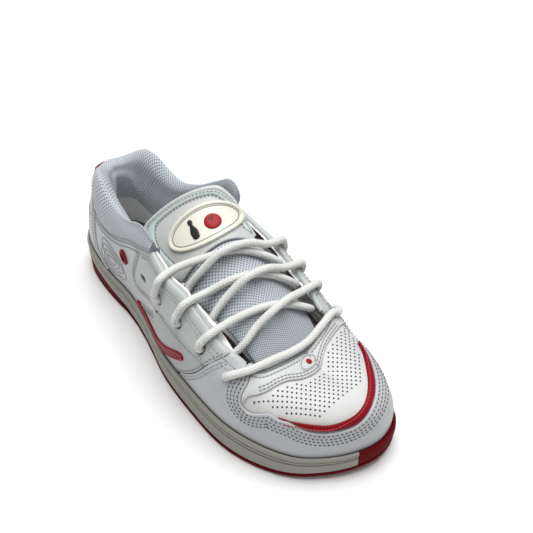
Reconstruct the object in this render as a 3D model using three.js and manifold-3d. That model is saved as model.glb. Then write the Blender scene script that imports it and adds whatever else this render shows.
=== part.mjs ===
// Bowling shoe, right foot, men's EU 43.  Millimetres, +X toe, +Y medial side, +Z up.
// Origin: on the floor under the middle of the sole.
import * as THREE from 'three';
import { mergeVertices } from 'three/addons/utils/BufferGeometryUtils.js';
import Module from 'manifold-3d';

const wasm = await Module();
wasm.setup();

// ---------------------------------------------------------------- driving dimensions
// plan of the sole: [x, lateral y, medial y], heel tip first
const PLAN = [[-150, 3.5, 3.5], [-148, -5.2, 12], [-142, -13.5, 20.5], [-130, -22, 30], [-112, -27, 36.5],
  [-88, -30, 38.9], [-60, -31.7, 38.6], [-30, -38.3, 40], [5, -48.6, 44], [40, -53.5, 49],
  [72, -55, 50.7], [98, -49.5, 48.4], [120, -38.5, 44], [136, -22, 37], [146, -5, 28], [150, 12, 12]];
const SIDE_TOP = [[-150, 30], [-110, 27], [-60, 25], [-20, 25], [20, 26], [60, 26], [100, 23.5], [130, 21],
  [150, 22]];
const WEDGE_TOP = [[-150, 15], [-130, 14], [-105, 10.5], [-80, 7], [-62, 4.8], [-50, 4.8]];
const FEATHER_INSET = 4;       // upper sits this far inside the sole edge
const OUTSOLE = 3.2;           // outsole thickness
// cup floor above the outsole's underside
const FLOOR = [[-150, 18], [-110, 15.5], [-60, 11], [-20, 9], [60, 8.5], [150, 8.5]];
const GAP = 0.3;               // clearance between separate pieces
const WEDGE_FRONT = -62;       // front end of the heel wedge
// crown line of the upper and how the walls climb to it
const RIDGE_X = [[-150, -97], [-110, -84], [-60, -52], [0, -4], [60, 46], [100, 80], [130, 96], [150, 104]];
const RIDGE_Z = [[-112, 166], [-95, 160], [-60, 144], [-10, 117], [30, 92], [65, 70], [90, 58], [104, 52]];
const RIDGE_Y = [[-108, 5], [-40, 3], [20, 0], [60, 1], [104, 5]];
const WALL_H = [[[-150, 0.14], [-100, 0], [-40, -0.02], [10, -0.03], [65, 0], [110, 0.02], [150, 0.02]],
  [[-150, 0.42], [-100, 0.12], [-40, 0.03], [10, 0.04], [65, 0.1], [110, 0.12], [150, 0.13]],
  [[-150, 0.74], [-100, 0.38], [-40, 0.26], [10, 0.31], [65, 0.42], [110, 0.44], [150, 0.46]]];
const WALL_W = [[[-150, 0.2], [-100, 0.2], [-40, 0.24], [10, 0.3], [65, 0.38], [110, 0.42], [150, 0.42]],
  [[-150, 0.44], [-100, 0.44], [-40, 0.55], [10, 0.62], [65, 0.7], [110, 0.76], [150, 0.76]],
  [[-150, 0.74], [-100, 0.76], [-40, 0.85], [10, 0.88], [65, 0.93], [110, 0.95], [150, 0.95]]];
// extra fullness of the medial wall beside the instep
const MEDIAL_FULL = [[-110, 0], [-60, 0.5], [-20, 1], [10, 1], [50, 0.4], [80, 0], [150, 0]];
// leather layers as distances out from the last surface
const LINING = [-3, -1.95];
const BASE = [-1.55, -0.25];
const OVERLAY = [0.15, 1.5];
const TRIM = [1.8, 2.7];
// side-view seams, [x, z]
const COLLAR_SEAM = [[-170, 90], [-113, 90], [-108, 86], [-105.5, 77], [-103, 71.5], [-98, 68.5], [-85, 67],
  [-68, 70], [-45, 82], [-23, 92.5], [-13, 97]];
const THROAT_EDGE = [[-13, 97], [0, 93], [10, 90], [21, 88], [36, 81.5], [56, 73], [72, 67], [80, 63.5]];
const PIPING = [[-91, 20], [-92, 26.5], [-101, 30], [-106, 37], [-108, 48], [-108, 57], [-107.5, 70],
  [-107.5, 95]];
const EYESTAY_REAR = [[-30, 96], [-34, 82], [-41, 69], [-46, 58], [-45, 50], [-36, 47.5], [-19, 56], [-5,
  63.5]];
const EYESTAY_LOWER = [[5, 65], [13, 65], [24, 63], [34, 62], [42, 61], [50, 60.6], [55, 59]];
const SIDE_REAR = [[-45, 19], [-45, 28], [-34, 37], [-23, 44], [-5, 56.5]];
const CAP_REAR = [[66, 74], [65, 69], [62, 66], [58, 62], [51, 52], [45, 45], [40, 40], [33, 33], [26, 27],
  [22, 19]];
const BASE_SPLIT_X = 52;       // vamp and quarter meet here under the overlays
const BAND_SPLIT_Z = 62;       // groove round the heel band
const BAND_TOP_Z = 99.7;       // the heel band runs on under the collar up to here
const TAB_Z = [73, 77, 81, 85, 88, 91];      // rows of the heel tab
const TAB_SIDES = [0.056, -0.03];            // its lateral and medial sides, round the sole
const TAB_LAYER = [2.7, 3.9];                // its faces above the last
const TAB_LIFT = 0.9;                        // it stands off further where the collar bulges
// plan-view seams, [x, y]
const THROAT_BASE = [[-8, -27], [30, -31], [60, -33], [78, -34.5], [85, -28], [88, -15], [88.6, 0], [87,
  13], [83, 25], [77, 33], [60, 33], [30, 31], [-8, 29]];
const PATCH = [[77, -30], [81, -35], [83.5, -39], [84, -43], [85.5, -46], [91, -45.4], [97, -42.5], [102,
  -39],
  [107, -37], [112, -34], [119, -30], [125, -25], [131, -18], [136, -10], [139, -2], [139, 6], [136, 14],
  [131, 21], [124, 27.5], [116, 33], [108, 37.3], [100, 40.5], [93, 42.5], [87, 42.5], [83, 40], [80, 35],
    [76, 30]];
const PATCH_TIP_Z = 46.5;      // the patch's side tips end at this height
const OVERLAY_EDGE = [[85, -46], [88, -42], [92, -37.5], [94.5, -32], [95.5, -27], [97.5, -20], [101, -13],
  [102.5, -7],
  [102.5, -1], [100.5, 5.5], [97, 11], [94, 17], [91.5, 25], [89, 33], [86, 40]];
const ARC_INNER = [[110, -35.3], [117, -30], [124, -23.5], [129.8, -16.5], [133.6, -9], [135.6, -1],
  [134.6, 7],
  [131, 14], [126, 20], [119, 26.2], [110, 33], [103, 36.6]];
const SIDE_STRIPE = [[-43.5, 32], [-30, 33.4], [-15, 34], [-3, 35.4], [6, 38.6], [14, 43], [22, 47.6], [31,
  52.6],
  [34.6, 53.2], [36.3, 50.6], [34.8, 47.8], [27, 42.2], [19, 36.8], [11, 31.6], [2, 28.6], [-15, 27], [-30,
    27],
  [-43.5, 27.5]];
// lacing
// eyelets on each side, [x, z]; the medial row sits further forward
const ROWS = {
  lateral: [[71, 60], [49, 67], [27, 72], [5, 75]],
  medial: [[75, 58], [58, 64], [42, 69.5], [24, 74]],
};
const rowsOf = (side) => (side < 0 ? ROWS.lateral : ROWS.medial);
const SLOT = [-22, 71];                                  // unused webbing slot
const RING = [-58, 62];                                  // moulded ring on the ankle
const EYELET_R = 3.8;
const LACE_R = 2.5;
const EMERGE = 7;              // each run comes out this far behind its eyelet
// tongue: [x, z, half width, side drop] along its centre line
const TONGUE = [[91, 50.5, 22, 2], [86, 53.2, 23, 3], [80, 59.5, 24, 5], [72, 68, 25.5, 8], [62, 77, 26.5,
  11],
  [48, 87, 27.5, 15], [30, 95, 28.5, 18], [10, 102, 28.5, 19], [-8, 108.5, 28, 18], [-27, 115, 26, 11.5]];
const FLAP_U = 0.765;          // where the flap starts, share of the tongue's length
const HINGE_AT = [14, 0, 102.5];         // a point on the fold line of the flap
const HINGE_AXIS = [0.27, 0.926, 0.264];  // direction of the fold line
const FLAP_SKEW = [19, 18];    // how far the flap's medial side leads, x and z

// ---------------------------------------------------------------- curves
function through(x, knots) {
  const n = knots.length;
  const d = [];
  for (let k = 0; k < n - 1; k++) d.push((knots[k + 1][1] - knots[k][1]) / (knots[k + 1][0] - knots[k][0]));
  const slope = (k) => {
    if (k === 0) return d[0];
    if (k === n - 1) return d[n - 2];
    const a = knots[k + 1][0] - knots[k][0];
    const b = knots[k][0] - knots[k - 1][0];
    return (d[k - 1] * a + d[k] * b) / (a + b);
  };
  const v = Math.min(Math.max(x, knots[0][0]), knots[n - 1][0]);
  let i = 0;
  while (i < n - 2 && v > knots[i + 1][0]) i++;
  const h = knots[i + 1][0] - knots[i][0];
  const t = (v - knots[i][0]) / h;
  const t2 = t * t;
  const t3 = t2 * t;
  return (2 * t3 - 3 * t2 + 1) * knots[i][1] + (t3 - 2 * t2 + t) * h * slope(i)
    + (3 * t2 - 2 * t3) * knots[i + 1][1] + (t3 - t2) * h * slope(i + 1);
}
const LOOP = [...PLAN.map((p) => [p[0], p[1]]), ...PLAN.slice(1, -1).reverse().map((p) => [p[0], p[2]])];
function loopAt(s) {
  const n = LOOP.length;
  const u = (s - Math.floor(s)) * n;
  const i = Math.floor(u);
  const f = u - i;
  const [a, b, c, d] = [-1, 0, 1, 2].map((k) => LOOP[(i + k + n) % n]);
  return [0, 1].map((m) => 0.5 * (2 * b[m] + (c[m] - a[m]) * f + (2 * a[m] - 5 * b[m] + 4 * c[m] - d[m]) * f * f
    + (3 * b[m] - a[m] - 3 * c[m] + d[m]) * f * f * f));
}
function outline(s, inset) {
  const p = loopAt(s);
  const a = loopAt(s - 0.002);
  const b = loopAt(s + 0.002);
  const len = Math.hypot(b[0] - a[0], b[1] - a[1]);
  return [p[0] - (b[1] - a[1]) / len * inset, p[1] + (b[0] - a[0]) / len * inset];
}
function bottomZ(x) {
  if (x > 85) return 6 * ((x - 85) / 65) ** 2;
  if (x < -125) return 3 * ((x + 125) / 25) ** 2;
  return 0;
}
const sideTop = (x) => through(x, SIDE_TOP);

// ---------------------------------------------------------------- the last surface
// s runs round the sole from the heel tip (0) along the lateral side to the toe tip (0.5) and back,
// t climbs from the sole edge (0) to the crown line (1)
function lastPoint(s, t) {
  const b = outline(s, FEATHER_INSET);
  const o = outline(1 - s, FEATHER_INSET);
  const xa = 0.5 * (b[0] + o[0]);
  const rx = through(xa, RIDGE_X);
  const r = [rx, through(rx, RIDGE_Y), through(rx, RIDGE_Z)];
  const bz = sideTop(b[0]) - 2;
  const full = s - Math.floor(s) > 0.5 ? through(xa, MEDIAL_FULL) : 0;
  const H = [0, ...WALL_H.map((k, m) => through(xa, k) - [0.02, 0.07, 0.12][m] * full), 1];
  const W = [0, ...WALL_W.map((k) => through(xa, k)), 1];
  const u = Math.min(Math.max(t, 0), 1) * 4;
  const i = Math.min(Math.floor(u), 3);
  const f = u - i;
  const pick = (A, j, end) => (j < 0 ? 2 * A[0] - A[1] : j > 4 ? end : A[j]);
  const mix = (A, end) => {
    const [a, p, c, d] = [-1, 0, 1, 2].map((k) => pick(A, i + k, end));
    return 0.5 * (2 * p + (c - a) * f + (2 * a - 5 * p + 4 * c - d) * f * f + (3 * p - a - 3 * c + d) * f * f * f);
  };
  const h = mix(H, 2 * H[4] - H[3]);
  const w = mix(W, W[3]);
  return new THREE.Vector3(b[0] + (r[0] - b[0]) * h, b[1] + (r[1] - b[1]) * h, bz + (r[2] - bz) * w);
}
function lastNormal(s, t) {
  const e = 0.002;
  const ds = lastPoint(s + e, t).sub(lastPoint(s - e, t));
  const dt = lastPoint(s, Math.min(t + e, 1)).sub(lastPoint(s, Math.max(t - e, 0)));
  return ds.cross(dt).normalize();
}
function offLast(s, t, n) {
  return lastPoint(s, t).addScaledVector(lastNormal(s, t), n);
}
// (s, t) of the point of one side with a given side-view x and z
function findXZ(side, x, z) {
  let s = side < 0 ? 0.25 : 0.75;
  let t = 0.4;
  for (let k = 0; k < 40; k++) {
    const p = lastPoint(s, t);
    const a = lastPoint(s + 1e-4, t).sub(p).multiplyScalar(1e4);
    const b = lastPoint(s, t + 1e-4).sub(p).multiplyScalar(1e4);
    const det = a.x * b.z - b.x * a.z;
    const ex = x - p.x;
    const ez = z - p.z;
    s += Math.max(-0.05, Math.min(0.05, (ex * b.z - b.x * ez) / det));
    t += Math.max(-0.15, Math.min(0.15, (a.x * ez - ex * a.z) / det));
    t = Math.min(Math.max(t, 0), 0.999);
  }
  return [s, t];
}

// ---------------------------------------------------------------- solids
function meshFrom(points, faces) {
  const g = new THREE.BufferGeometry();
  g.setAttribute('position', new THREE.Float32BufferAttribute(points.flatMap((p) => [p.x, p.y, p.z]), 3));
  g.setIndex(faces.flat());
  return weld(g);
}
function weld(geometry) {
  geometry.deleteAttribute('normal');
  geometry.deleteAttribute('uv');
  const g = mergeVertices(geometry, 1e-4);
  const idx = g.index.array;
  const keep = [];
  for (let k = 0; k < idx.length; k += 3) {
    if (idx[k] !== idx[k + 1] && idx[k + 1] !== idx[k + 2] && idx[k] !== idx[k + 2]) {
      keep.push(idx[k], idx[k + 1], idx[k + 2]);
    }
  }
  g.setIndex(keep);
  return g;
}
function solid(geometry) {
  const g = weld(geometry);
  const m = new wasm.Manifold(new wasm.Mesh({ numProp: 3,
    vertProperties: new Float32Array(g.attributes.position.array),
    triVerts: new Uint32Array(g.index.array) }));
  return m;
}
function largest(m) {
  const all = m.decompose();
  let best = all[0];
  for (const k of all) if (k.volume() > best.volume()) best = k;
  return best;
}
function geometryOf(m, tolerance) {
  const out = largest(m).simplify(tolerance).getMesh();
  const g = new THREE.BufferGeometry();
  const p = [];
  for (let k = 0; k < out.vertProperties.length; k += out.numProp) {
    p.push(out.vertProperties[k], out.vertProperties[k + 1], out.vertProperties[k + 2]);
  }
  g.setAttribute('position', new THREE.Float32BufferAttribute(p, 3));
  g.setIndex(Array.from(out.triVerts));
  g.computeVertexNormals();
  return g;
}
// thick dome over the whole last between two distances from its surface
const STATIONS = 26;
const RIBS = 7;
function dome([n0, n1]) {
  const pts = [];
  const faces = [];
  const cols = 2 * RIBS + 1;
  for (const n of [n1, n0]) {
    for (let i = 0; i <= STATIONS; i++) {
      for (let j = 0; j < cols; j++) {
        const medial = j > RIBS;
        const s = medial ? 1 - i / STATIONS / 2 : i / STATIONS / 2;
        const t = (medial ? 2 * RIBS - j : j) / RIBS;
        const nn = t === 1
          ? lastNormal(i / STATIONS / 2, 1).add(lastNormal(1 - i / STATIONS / 2, 1)).normalize()
          : lastNormal(s, t);
        pts.push(lastPoint(s, t).addScaledVector(nn, n));
      }
    }
  }
  const half = (STATIONS + 1) * cols;
  const at = (i, j, inner) => i * cols + j + (inner ? half : 0);
  for (let i = 0; i < STATIONS; i++) {
    for (let j = 0; j < cols - 1; j++) {
      faces.push([at(i, j), at(i + 1, j), at(i + 1, j + 1)], [at(i, j), at(i + 1, j + 1), at(i, j + 1)]);
      faces.push([at(i, j, 1), at(i + 1, j + 1, 1), at(i + 1, j, 1)], [at(i, j, 1), at(i, j + 1, 1),
        at(i + 1, j + 1, 1)]);
    }
    const e = cols - 1;
    faces.push([at(i, 0), at(i, 0, 1), at(i + 1, 0, 1)], [at(i, 0), at(i + 1, 0, 1), at(i + 1, 0)]);
    faces.push([at(i + 1, e), at(i + 1, e, 1), at(i, e, 1)], [at(i + 1, e), at(i, e, 1), at(i, e)]);
  }
  return solid(meshFrom(pts, faces));
}
// a body lofted through rings that follow the sole's plan: {inset, z(x)}, lowest first
function soleLoft(rings) {
  const n = 2 * STATIONS;
  const pts = [];
  const faces = [];
  for (const r of rings) {
    for (let k = 0; k < n; k++) {
      const p = outline(k / n, r.inset);
      pts.push(new THREE.Vector3(p[0], p[1], r.z(p[0])));
    }
  }
  for (let r = 0; r < rings.length - 1; r++) {
    for (let k = 0; k < n; k++) {
      const a = r * n + k;
      const b = r * n + (k + 1) % n;
      faces.push([a, b, b + n], [a, b + n, a + n]);
    }
  }
  const top = (rings.length - 1) * n;
  for (let k = 0; k < STATIONS; k++) {
    const a = k;
    const b = k + 1;
    const c = (n - k - 1) % n;
    const d = (n - k) % n;
    faces.push([a, c, b], [a, d, c]);
    faces.push([top + a, top + b, top + c], [top + a, top + c, top + d]);
  }
  return solid(meshFrom(pts, faces));
}
function prismXZ(points, y0, y1) {
  const shape = new THREE.Shape(points.map((p) => new THREE.Vector2(p[0], p[1])));
  const g = new THREE.ExtrudeGeometry(shape, { depth: y1 - y0, bevelEnabled: false });
  g.rotateX(Math.PI / 2);
  g.translate(0, y1, 0);
  return solid(g);
}
function prismXY(points, z0, z1) {
  const shape = new THREE.Shape(points.map((p) => new THREE.Vector2(p[0], p[1])));
  const g = new THREE.ExtrudeGeometry(shape, { depth: z1 - z0, bevelEnabled: false });
  g.translate(0, 0, z0);
  return solid(g);
}
// shift a seam sideways so that the two pieces meeting at it stay apart
function shifted(points, d) {
  return points.map((p, k) => {
    const a = points[Math.max(k - 1, 0)];
    const b = points[Math.min(k + 1, points.length - 1)];
    const len = Math.hypot(b[0] - a[0], b[1] - a[1]);
    return [p[0] + (b[1] - a[1]) / len * d, p[1] - (b[0] - a[0]) / len * d];
  });
}
function ringPolygon(points, d) {
  const n = points.length;
  return points.map((p, k) => {
    const a = points[(k + n - 1) % n];
    const b = points[(k + 1) % n];
    const len = Math.hypot(b[0] - a[0], b[1] - a[1]);
    return [p[0] + (b[1] - a[1]) / len * d, p[1] - (b[0] - a[0]) / len * d];
  });
}

// ---------------------------------------------------------------- sole unit
const rubberTop = (x) => bottomZ(x) + OUTSOLE;
const floorZ = (x) => bottomZ(x) + through(x, FLOOR);
const wedgeTop = (x) => Math.max(through(x, WEDGE_TOP), bottomZ(x) + OUTSOLE + GAP + 1);
const TOE_BUMPER = [0.466, 0.562];
function bumperPlan(grow) {
  const out = [];
  const steps = 14;
  const [a, b] = [TOE_BUMPER[0] - grow / 700, TOE_BUMPER[1] + grow / 700];
  for (let k = 0; k <= steps; k++) out.push(outline(a + (b - a) * k / steps, -3));
  for (let k = steps; k >= 0; k--) out.push(outline(a + (b - a) * k / steps, 3.2 + grow));
  return out;
}
function outsole() {
  return soleLoft([{ inset: 0.9, z: bottomZ }, { inset: 0, z: (x) => bottomZ(x) + 0.9 }, { inset: 0,
    z: rubberTop }]);
}
function heelWedge() {
  const body = soleLoft([{ inset: 0, z: (x) => rubberTop(x) + GAP }, { inset: 0.1, z: wedgeTop }]);
  return body.intersect(prismXZ([[-170, -5], [WEDGE_FRONT, -5], [WEDGE_FRONT, 40], [-170, 40]], -80, 80));
}
function cupBlank() {
  const low = (x) => rubberTop(x) + GAP;
  const at = (share, down) => (x) => low(x) + (sideTop(x) - low(x)) * share - down;
  const body = soleLoft([{ inset: 0.5, z: low }, { inset: 0.1, z: at(0.2, 0) }, { inset: 0.2, z: at(0.55,
    0) },
    { inset: 1, z: at(0.62, 0) }, { inset: 1, z: at(0.68, 0) }, { inset: 0.2, z: at(0.75, 0) },
    { inset: 0.1, z: at(1, 0.9) }, { inset: 0.8, z: at(1, 0) }]);
  const room = soleLoft([{ inset: 7.5, z: (x) => floorZ(x) }, { inset: 7.5, z: (x) => sideTop(x) - 1 }]);
  const seat = soleLoft([{ inset: 2.1, z: (x) => sideTop(x) - 2.9 }, { inset: 2.1,
    z: (x) => sideTop(x) + 5 }]);
  const under = soleLoft([{ inset: -3, z: (x) => bottomZ(x) - 2 }, { inset: -3,
    z: (x) => wedgeTop(x) + GAP }])
    .intersect(prismXZ([[-170, -5], [WEDGE_FRONT + GAP, -5], [WEDGE_FRONT + GAP, 40], [-170, 40]], -80, 80));
  return body.subtract(room).subtract(seat).subtract(under);
}
const slab = (inset, lo, hi) => soleLoft([{ inset, z: (x) => floorZ(x) + lo }, { inset,
  z: (x) => floorZ(x) + hi }]);

// ---------------------------------------------------------------- upper panels
function opening() {
  const side = [...COLLAR_SEAM, ...THROAT_EDGE.slice(1), [82, 61.5], [82, 300], [-170, 300]];
  return prismXZ(side, -90, 90).add(prismXY(THROAT_BASE, 40, 200));
}
const BOTH = [-95, 95];
const HALF = { lateral: [-95, 2.5], medial: [4.5, 95] };
function panelXZ(layer, points, range, cuts) {
  let m = layer.intersect(prismXZ(points, range[0], range[1]));
  for (const c of cuts) m = m.subtract(c);
  return m;
}
function bore(side, [x, z], r, len) {
  const [s, t] = findXZ(side, x, z);
  const g = new THREE.CylinderGeometry(r, r, len, 8);
  const q = new THREE.Quaternion().setFromUnitVectors(new THREE.Vector3(0, 1, 0), lastNormal(s, t));
  g.applyQuaternion(q);
  const p = lastPoint(s, t);
  g.translate(p.x, p.y, p.z);
  return solid(g);
}
function slotBore(side) {
  const g = new THREE.ExtrudeGeometry(new THREE.Shape([[-6, -1.6], [6, -1.6], [6, 1.6], [-6, 1.6]]
    .map((p) => new THREE.Vector2(p[0], p[1]))), { depth: 20, bevelEnabled: false });
  g.translate(0, 0, -10);
  g.rotateZ(0.35);
  const [s, t] = findXZ(side, SLOT[0], SLOT[1]);
  const n = lastNormal(s, t);
  const along = new THREE.Vector3(1, 0, 0).addScaledVector(n, -n.x).normalize();
  const up = new THREE.Vector3().crossVectors(n, along);
  if (up.z < 0) up.negate();
  const basis = new THREE.Matrix4().makeBasis(along, up, new THREE.Vector3().crossVectors(along, up));
  g.applyMatrix4(basis);
  const p = lastPoint(s, t);
  g.translate(p.x, p.y, p.z);
  return solid(g);
}
// a ring of round section standing on the surface
function surfaceRing(side, [x, z], rIn, rOut, n0, n1) {
  const prof = [[rIn, n0], [rOut, n0], [rOut, n1 - 0.6], [(rIn + rOut) / 2, n1], [rIn, n1 - 0.6], [rIn, n0]];
  const g = new THREE.LatheGeometry(prof.map((p) => new THREE.Vector2(p[0], p[1])), 14);
  const [s, t] = findXZ(side, x, z);
  g.applyQuaternion(new THREE.Quaternion().setFromUnitVectors(new THREE.Vector3(0, 1, 0), lastNormal(s, t)));
  const p = lastPoint(s, t);
  g.translate(p.x, p.y, p.z);
  return g;
}

// ---------------------------------------------------------------- collar
// points along the collar seam: lateral front, round the heel, medial front
const COLLAR_TOP = [[-124, 97], [-118, 99.5], [-110, 104], [-103, 106], [-97, 104.5], [-85, 97], [-68,
  92.5], [-50, 98],
  [-32, 109], [-16, 118], [-8, 119]];
const COLLAR_LOW = [[-130, 86.5], [-113, 84], [-106, 75], [-98, 69.3], [-85, 67.6], [-68, 70.6], [-45,
  82.6], [-23, 93], [-12, 97.6]];
const COLLAR_THICK = [[-124, 12], [-100, 14], [-72, 11.5], [-56, 7], [-44, 4.6], [-30, 3.8], [-8, 3.4]];
const HEEL_LEAN = 1.6;         // the pad leans in further behind the heel
function collarStations() {
  const out = [];
  const n = 46;
  for (let k = 0; k <= n; k++) {
    const s = 0.249 - 0.498 * k / n;
    const side = s >= 0 ? -1 : 1;
    const ss = s >= 0 ? s : 1 + s;
    let lo = 0.05;
    let hi = 0.8;
    for (let m = 0; m < 40; m++) {
      const t = (lo + hi) / 2;
      const p = lastPoint(ss, t);
      if (p.z < through(p.x, COLLAR_LOW)) lo = t;
      else hi = t;
    }
    const p = lastPoint(ss, lo);
    const nn = lastNormal(ss, lo);
    const o = new THREE.Vector3(nn.x, nn.y, 0).normalize();
    out.push({ p, o, side });
  }
  return out;
}
function collar() {
  const st = collarStations();
  const pts = [];
  const cols = 14;
  for (const { p, o, side } of st) {
    const h = through(p.x, COLLAR_TOP) - p.z;
    const w = through(p.x, COLLAR_THICK);
    const flare = side > 0 ? Math.max(0, Math.min(1, (p.x + 45) / 30)) * 4 : 0;
    const tail = Math.min(24, 10 + 14 * Math.max(0, Math.min(1, (-20 - p.x) / 30)));
    const lean = HEEL_LEAN * Math.max(0, Math.min(1, (-95 - p.x) / 20));
    const sec = [
      [1.2, 0.5],
      [1.8 + flare * 0.3 - lean * 0.3, 0.28 * h],
      [1 + flare * 0.7 - lean, 0.56 * h],
      [-0.9 + flare - lean * 1.1, 0.82 * h],
      [-0.32 * w + flare, h],
      [-0.6 * w + flare, 0.97 * h],
      [-0.9 * w + flare * 0.8, 0.78 * h],
      [-w + flare * 0.5, 0.45 * h],
      [-w - 2, 0],
      [-0.9 * w - 1.9, -0.5 * tail],
      [-0.6 * w - 2.6, -0.9 * tail],
      [-4.2, -tail],
      [-3.9, -0.4 * tail],
      [-3.5, 0.3],
    ];
    for (const [n, z] of sec) pts.push(p.clone().addScaledVector(o, n).add(new THREE.Vector3(0, 0, z)));
  }
  const faces = [];
  for (let i = 0; i < st.length - 1; i++) {
    for (let j = 0; j < cols; j++) {
      const a = i * cols + j;
      const b = i * cols + (j + 1) % cols;
      faces.push([a, b, b + cols], [a, b + cols, a + cols]);
    }
  }
  const shape = [];
  for (let j = 0; j < cols; j++) shape.push(j);
  const end = (st.length - 1) * cols;
  const cap = THREE.ShapeUtils.triangulateShape(shape.map((j) => {
    const d = pts[j].clone().sub(st[0].p);
    return new THREE.Vector2(d.dot(st[0].o), d.z);
  }), []);
  const capEnd = THREE.ShapeUtils.triangulateShape(shape.map((j) => {
    const d = pts[end + j].clone().sub(st[st.length - 1].p);
    return new THREE.Vector2(d.dot(st[st.length - 1].o), d.z);
  }), []);
  for (const [a, b, c] of cap) faces.push([a, c, b]);
  for (const [a, b, c] of capEnd) faces.push([end + a, end + b, end + c]);
  return meshFrom(pts, faces);
}
// red tab wrapped round the lateral corner of the heel, its foot narrower than its top
function heelTab() {
  const pts = [];
  const faces = [];
  const cols = 11;
  for (const n of TAB_LAYER) {
    for (const z of TAB_Z) {
      const foot = Math.min(1, (z - TAB_Z[0]) / 10);
      const share = 0.62 + 0.38 * foot;
      for (let k = 0; k < cols; k++) {
        const s = (TAB_SIDES[0] + (TAB_SIDES[1] - TAB_SIDES[0]) * k / (cols - 1)) * share;
        const around = s >= 0 ? s : 1 + s;
        let lo = 0.05;
        let hi = 0.8;
        for (let m = 0; m < 30; m++) {
          const t = (lo + hi) / 2;
          if (lastPoint(around, t).z < z) lo = t;
          else hi = t;
        }
        pts.push(lastPoint(around, lo).addScaledVector(lastNormal(around, lo), n + TAB_LIFT * foot));
      }
    }
  }
  const rows = TAB_Z.length;
  const at = (i, j, outer) => (outer ? rows * cols : 0) + i * cols + j;
  for (let i = 0; i < rows - 1; i++) {
    for (let j = 0; j < cols - 1; j++) {
      faces.push([at(i, j, 1), at(i + 1, j + 1, 1), at(i, j + 1, 1)], [at(i, j, 1), at(i + 1, j, 1),
        at(i + 1, j + 1, 1)]);
      faces.push([at(i, j), at(i, j + 1), at(i + 1, j + 1)], [at(i, j), at(i + 1, j + 1), at(i + 1, j)]);
    }
  }
  for (let i = 0; i < rows - 1; i++) {
    faces.push([at(i, 0), at(i + 1, 0), at(i + 1, 0, 1)], [at(i, 0), at(i + 1, 0, 1), at(i, 0, 1)]);
    const e = cols - 1;
    faces.push([at(i, e), at(i + 1, e, 1), at(i + 1, e)], [at(i, e), at(i, e, 1), at(i + 1, e, 1)]);
  }
  for (let j = 0; j < cols - 1; j++) {
    faces.push([at(0, j), at(0, j + 1, 1), at(0, j + 1)], [at(0, j), at(0, j, 1), at(0, j + 1, 1)]);
    const r = rows - 1;
    faces.push([at(r, j), at(r, j + 1), at(r, j + 1, 1)], [at(r, j), at(r, j + 1, 1), at(r, j, 1)]);
  }
  return meshFrom(pts, faces);
}

// ---------------------------------------------------------------- tongue
const TL = TONGUE.length - 1;
function tongueRow(u) {
  const f = Math.min(Math.max(u, 0), 1.04) * TL;
  const i = Math.min(Math.floor(f), TL - 1);
  const g = f - i;
  const row = (k) => {
    if (k < 0) return TONGUE[0].map((v, m) => 2 * v - TONGUE[1][m]);
    if (k > TL) return TONGUE[TL].map((v, m) => 2 * v - TONGUE[TL - 1][m]);
    return TONGUE[k];
  };
  const [a, b, c, d] = [-1, 0, 1, 2].map((k) => row(i + k));
  return b.map((_, m) => 0.5 * (2 * b[m] + (c[m] - a[m]) * g + (2 * a[m] - 5 * b[m] + 4 * c[m] - d[m]) * g * g
    + (3 * b[m] - a[m] - 3 * c[m] + d[m]) * g * g * g));
}
function tonguePoint(u, v) {
  const [x, z, hw, drop] = tongueRow(u);
  const k = Math.max(0, (u - 0.5) / 0.5) ** 1.3;
  return new THREE.Vector3(x + FLAP_SKEW[0] * v * k, hw * v, z - drop * v * v + FLAP_SKEW[1] * v * k);
}
function tongueNormal(u, v) {
  const e = 0.003;
  const du = tonguePoint(u + e, v).sub(tonguePoint(u - e, v));
  const dv = tonguePoint(u, v + e).sub(tonguePoint(u, v - e));
  return dv.cross(du).normalize();
}
const offTongue = (u, v, n) => tonguePoint(u, v).addScaledVector(tongueNormal(u, v), n);
// closed patch between two distances over a grid of (u, v)
function tonguePatch(u0, u1, rows, v0, v1, cols, n0, n1, trim = () => 1) {
  const pts = [];
  const faces = [];
  for (const n of [n0, n1]) {
    for (let i = 0; i <= rows; i++) {
      for (let j = 0; j <= cols; j++) {
        const u = u0 + (u1 - u0) * i / rows;
        const v = (v0 + (v1 - v0) * j / cols) * trim(i / rows);
        pts.push(offTongue(u, v, n));
      }
    }
  }
  const w = cols + 1;
  const at = (i, j, upper) => (upper ? (rows + 1) * w : 0) + i * w + j;
  for (let i = 0; i < rows; i++) {
    for (let j = 0; j < cols; j++) {
      faces.push([at(i, j, 1), at(i, j + 1, 1), at(i + 1, j + 1, 1)], [at(i, j, 1), at(i + 1, j + 1, 1),
        at(i + 1, j, 1)]);
      faces.push([at(i, j), at(i + 1, j + 1), at(i, j + 1)], [at(i, j), at(i + 1, j), at(i + 1, j + 1)]);
    }
    faces.push([at(i, 0), at(i, 0, 1), at(i + 1, 0, 1)], [at(i, 0), at(i + 1, 0, 1), at(i + 1, 0)]);
    faces.push([at(i, cols), at(i + 1, cols, 1), at(i, cols, 1)], [at(i, cols), at(i + 1, cols), at(i + 1,
      cols, 1)]);
  }
  for (let j = 0; j < cols; j++) {
    faces.push([at(0, j), at(0, j + 1, 1), at(0, j, 1)], [at(0, j), at(0, j + 1), at(0, j + 1, 1)]);
    faces.push([at(rows, j), at(rows, j, 1), at(rows, j + 1, 1)], [at(rows, j), at(rows, j + 1, 1),
      at(rows, j + 1)]);
  }
  return meshFrom(pts, faces);
}
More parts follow.
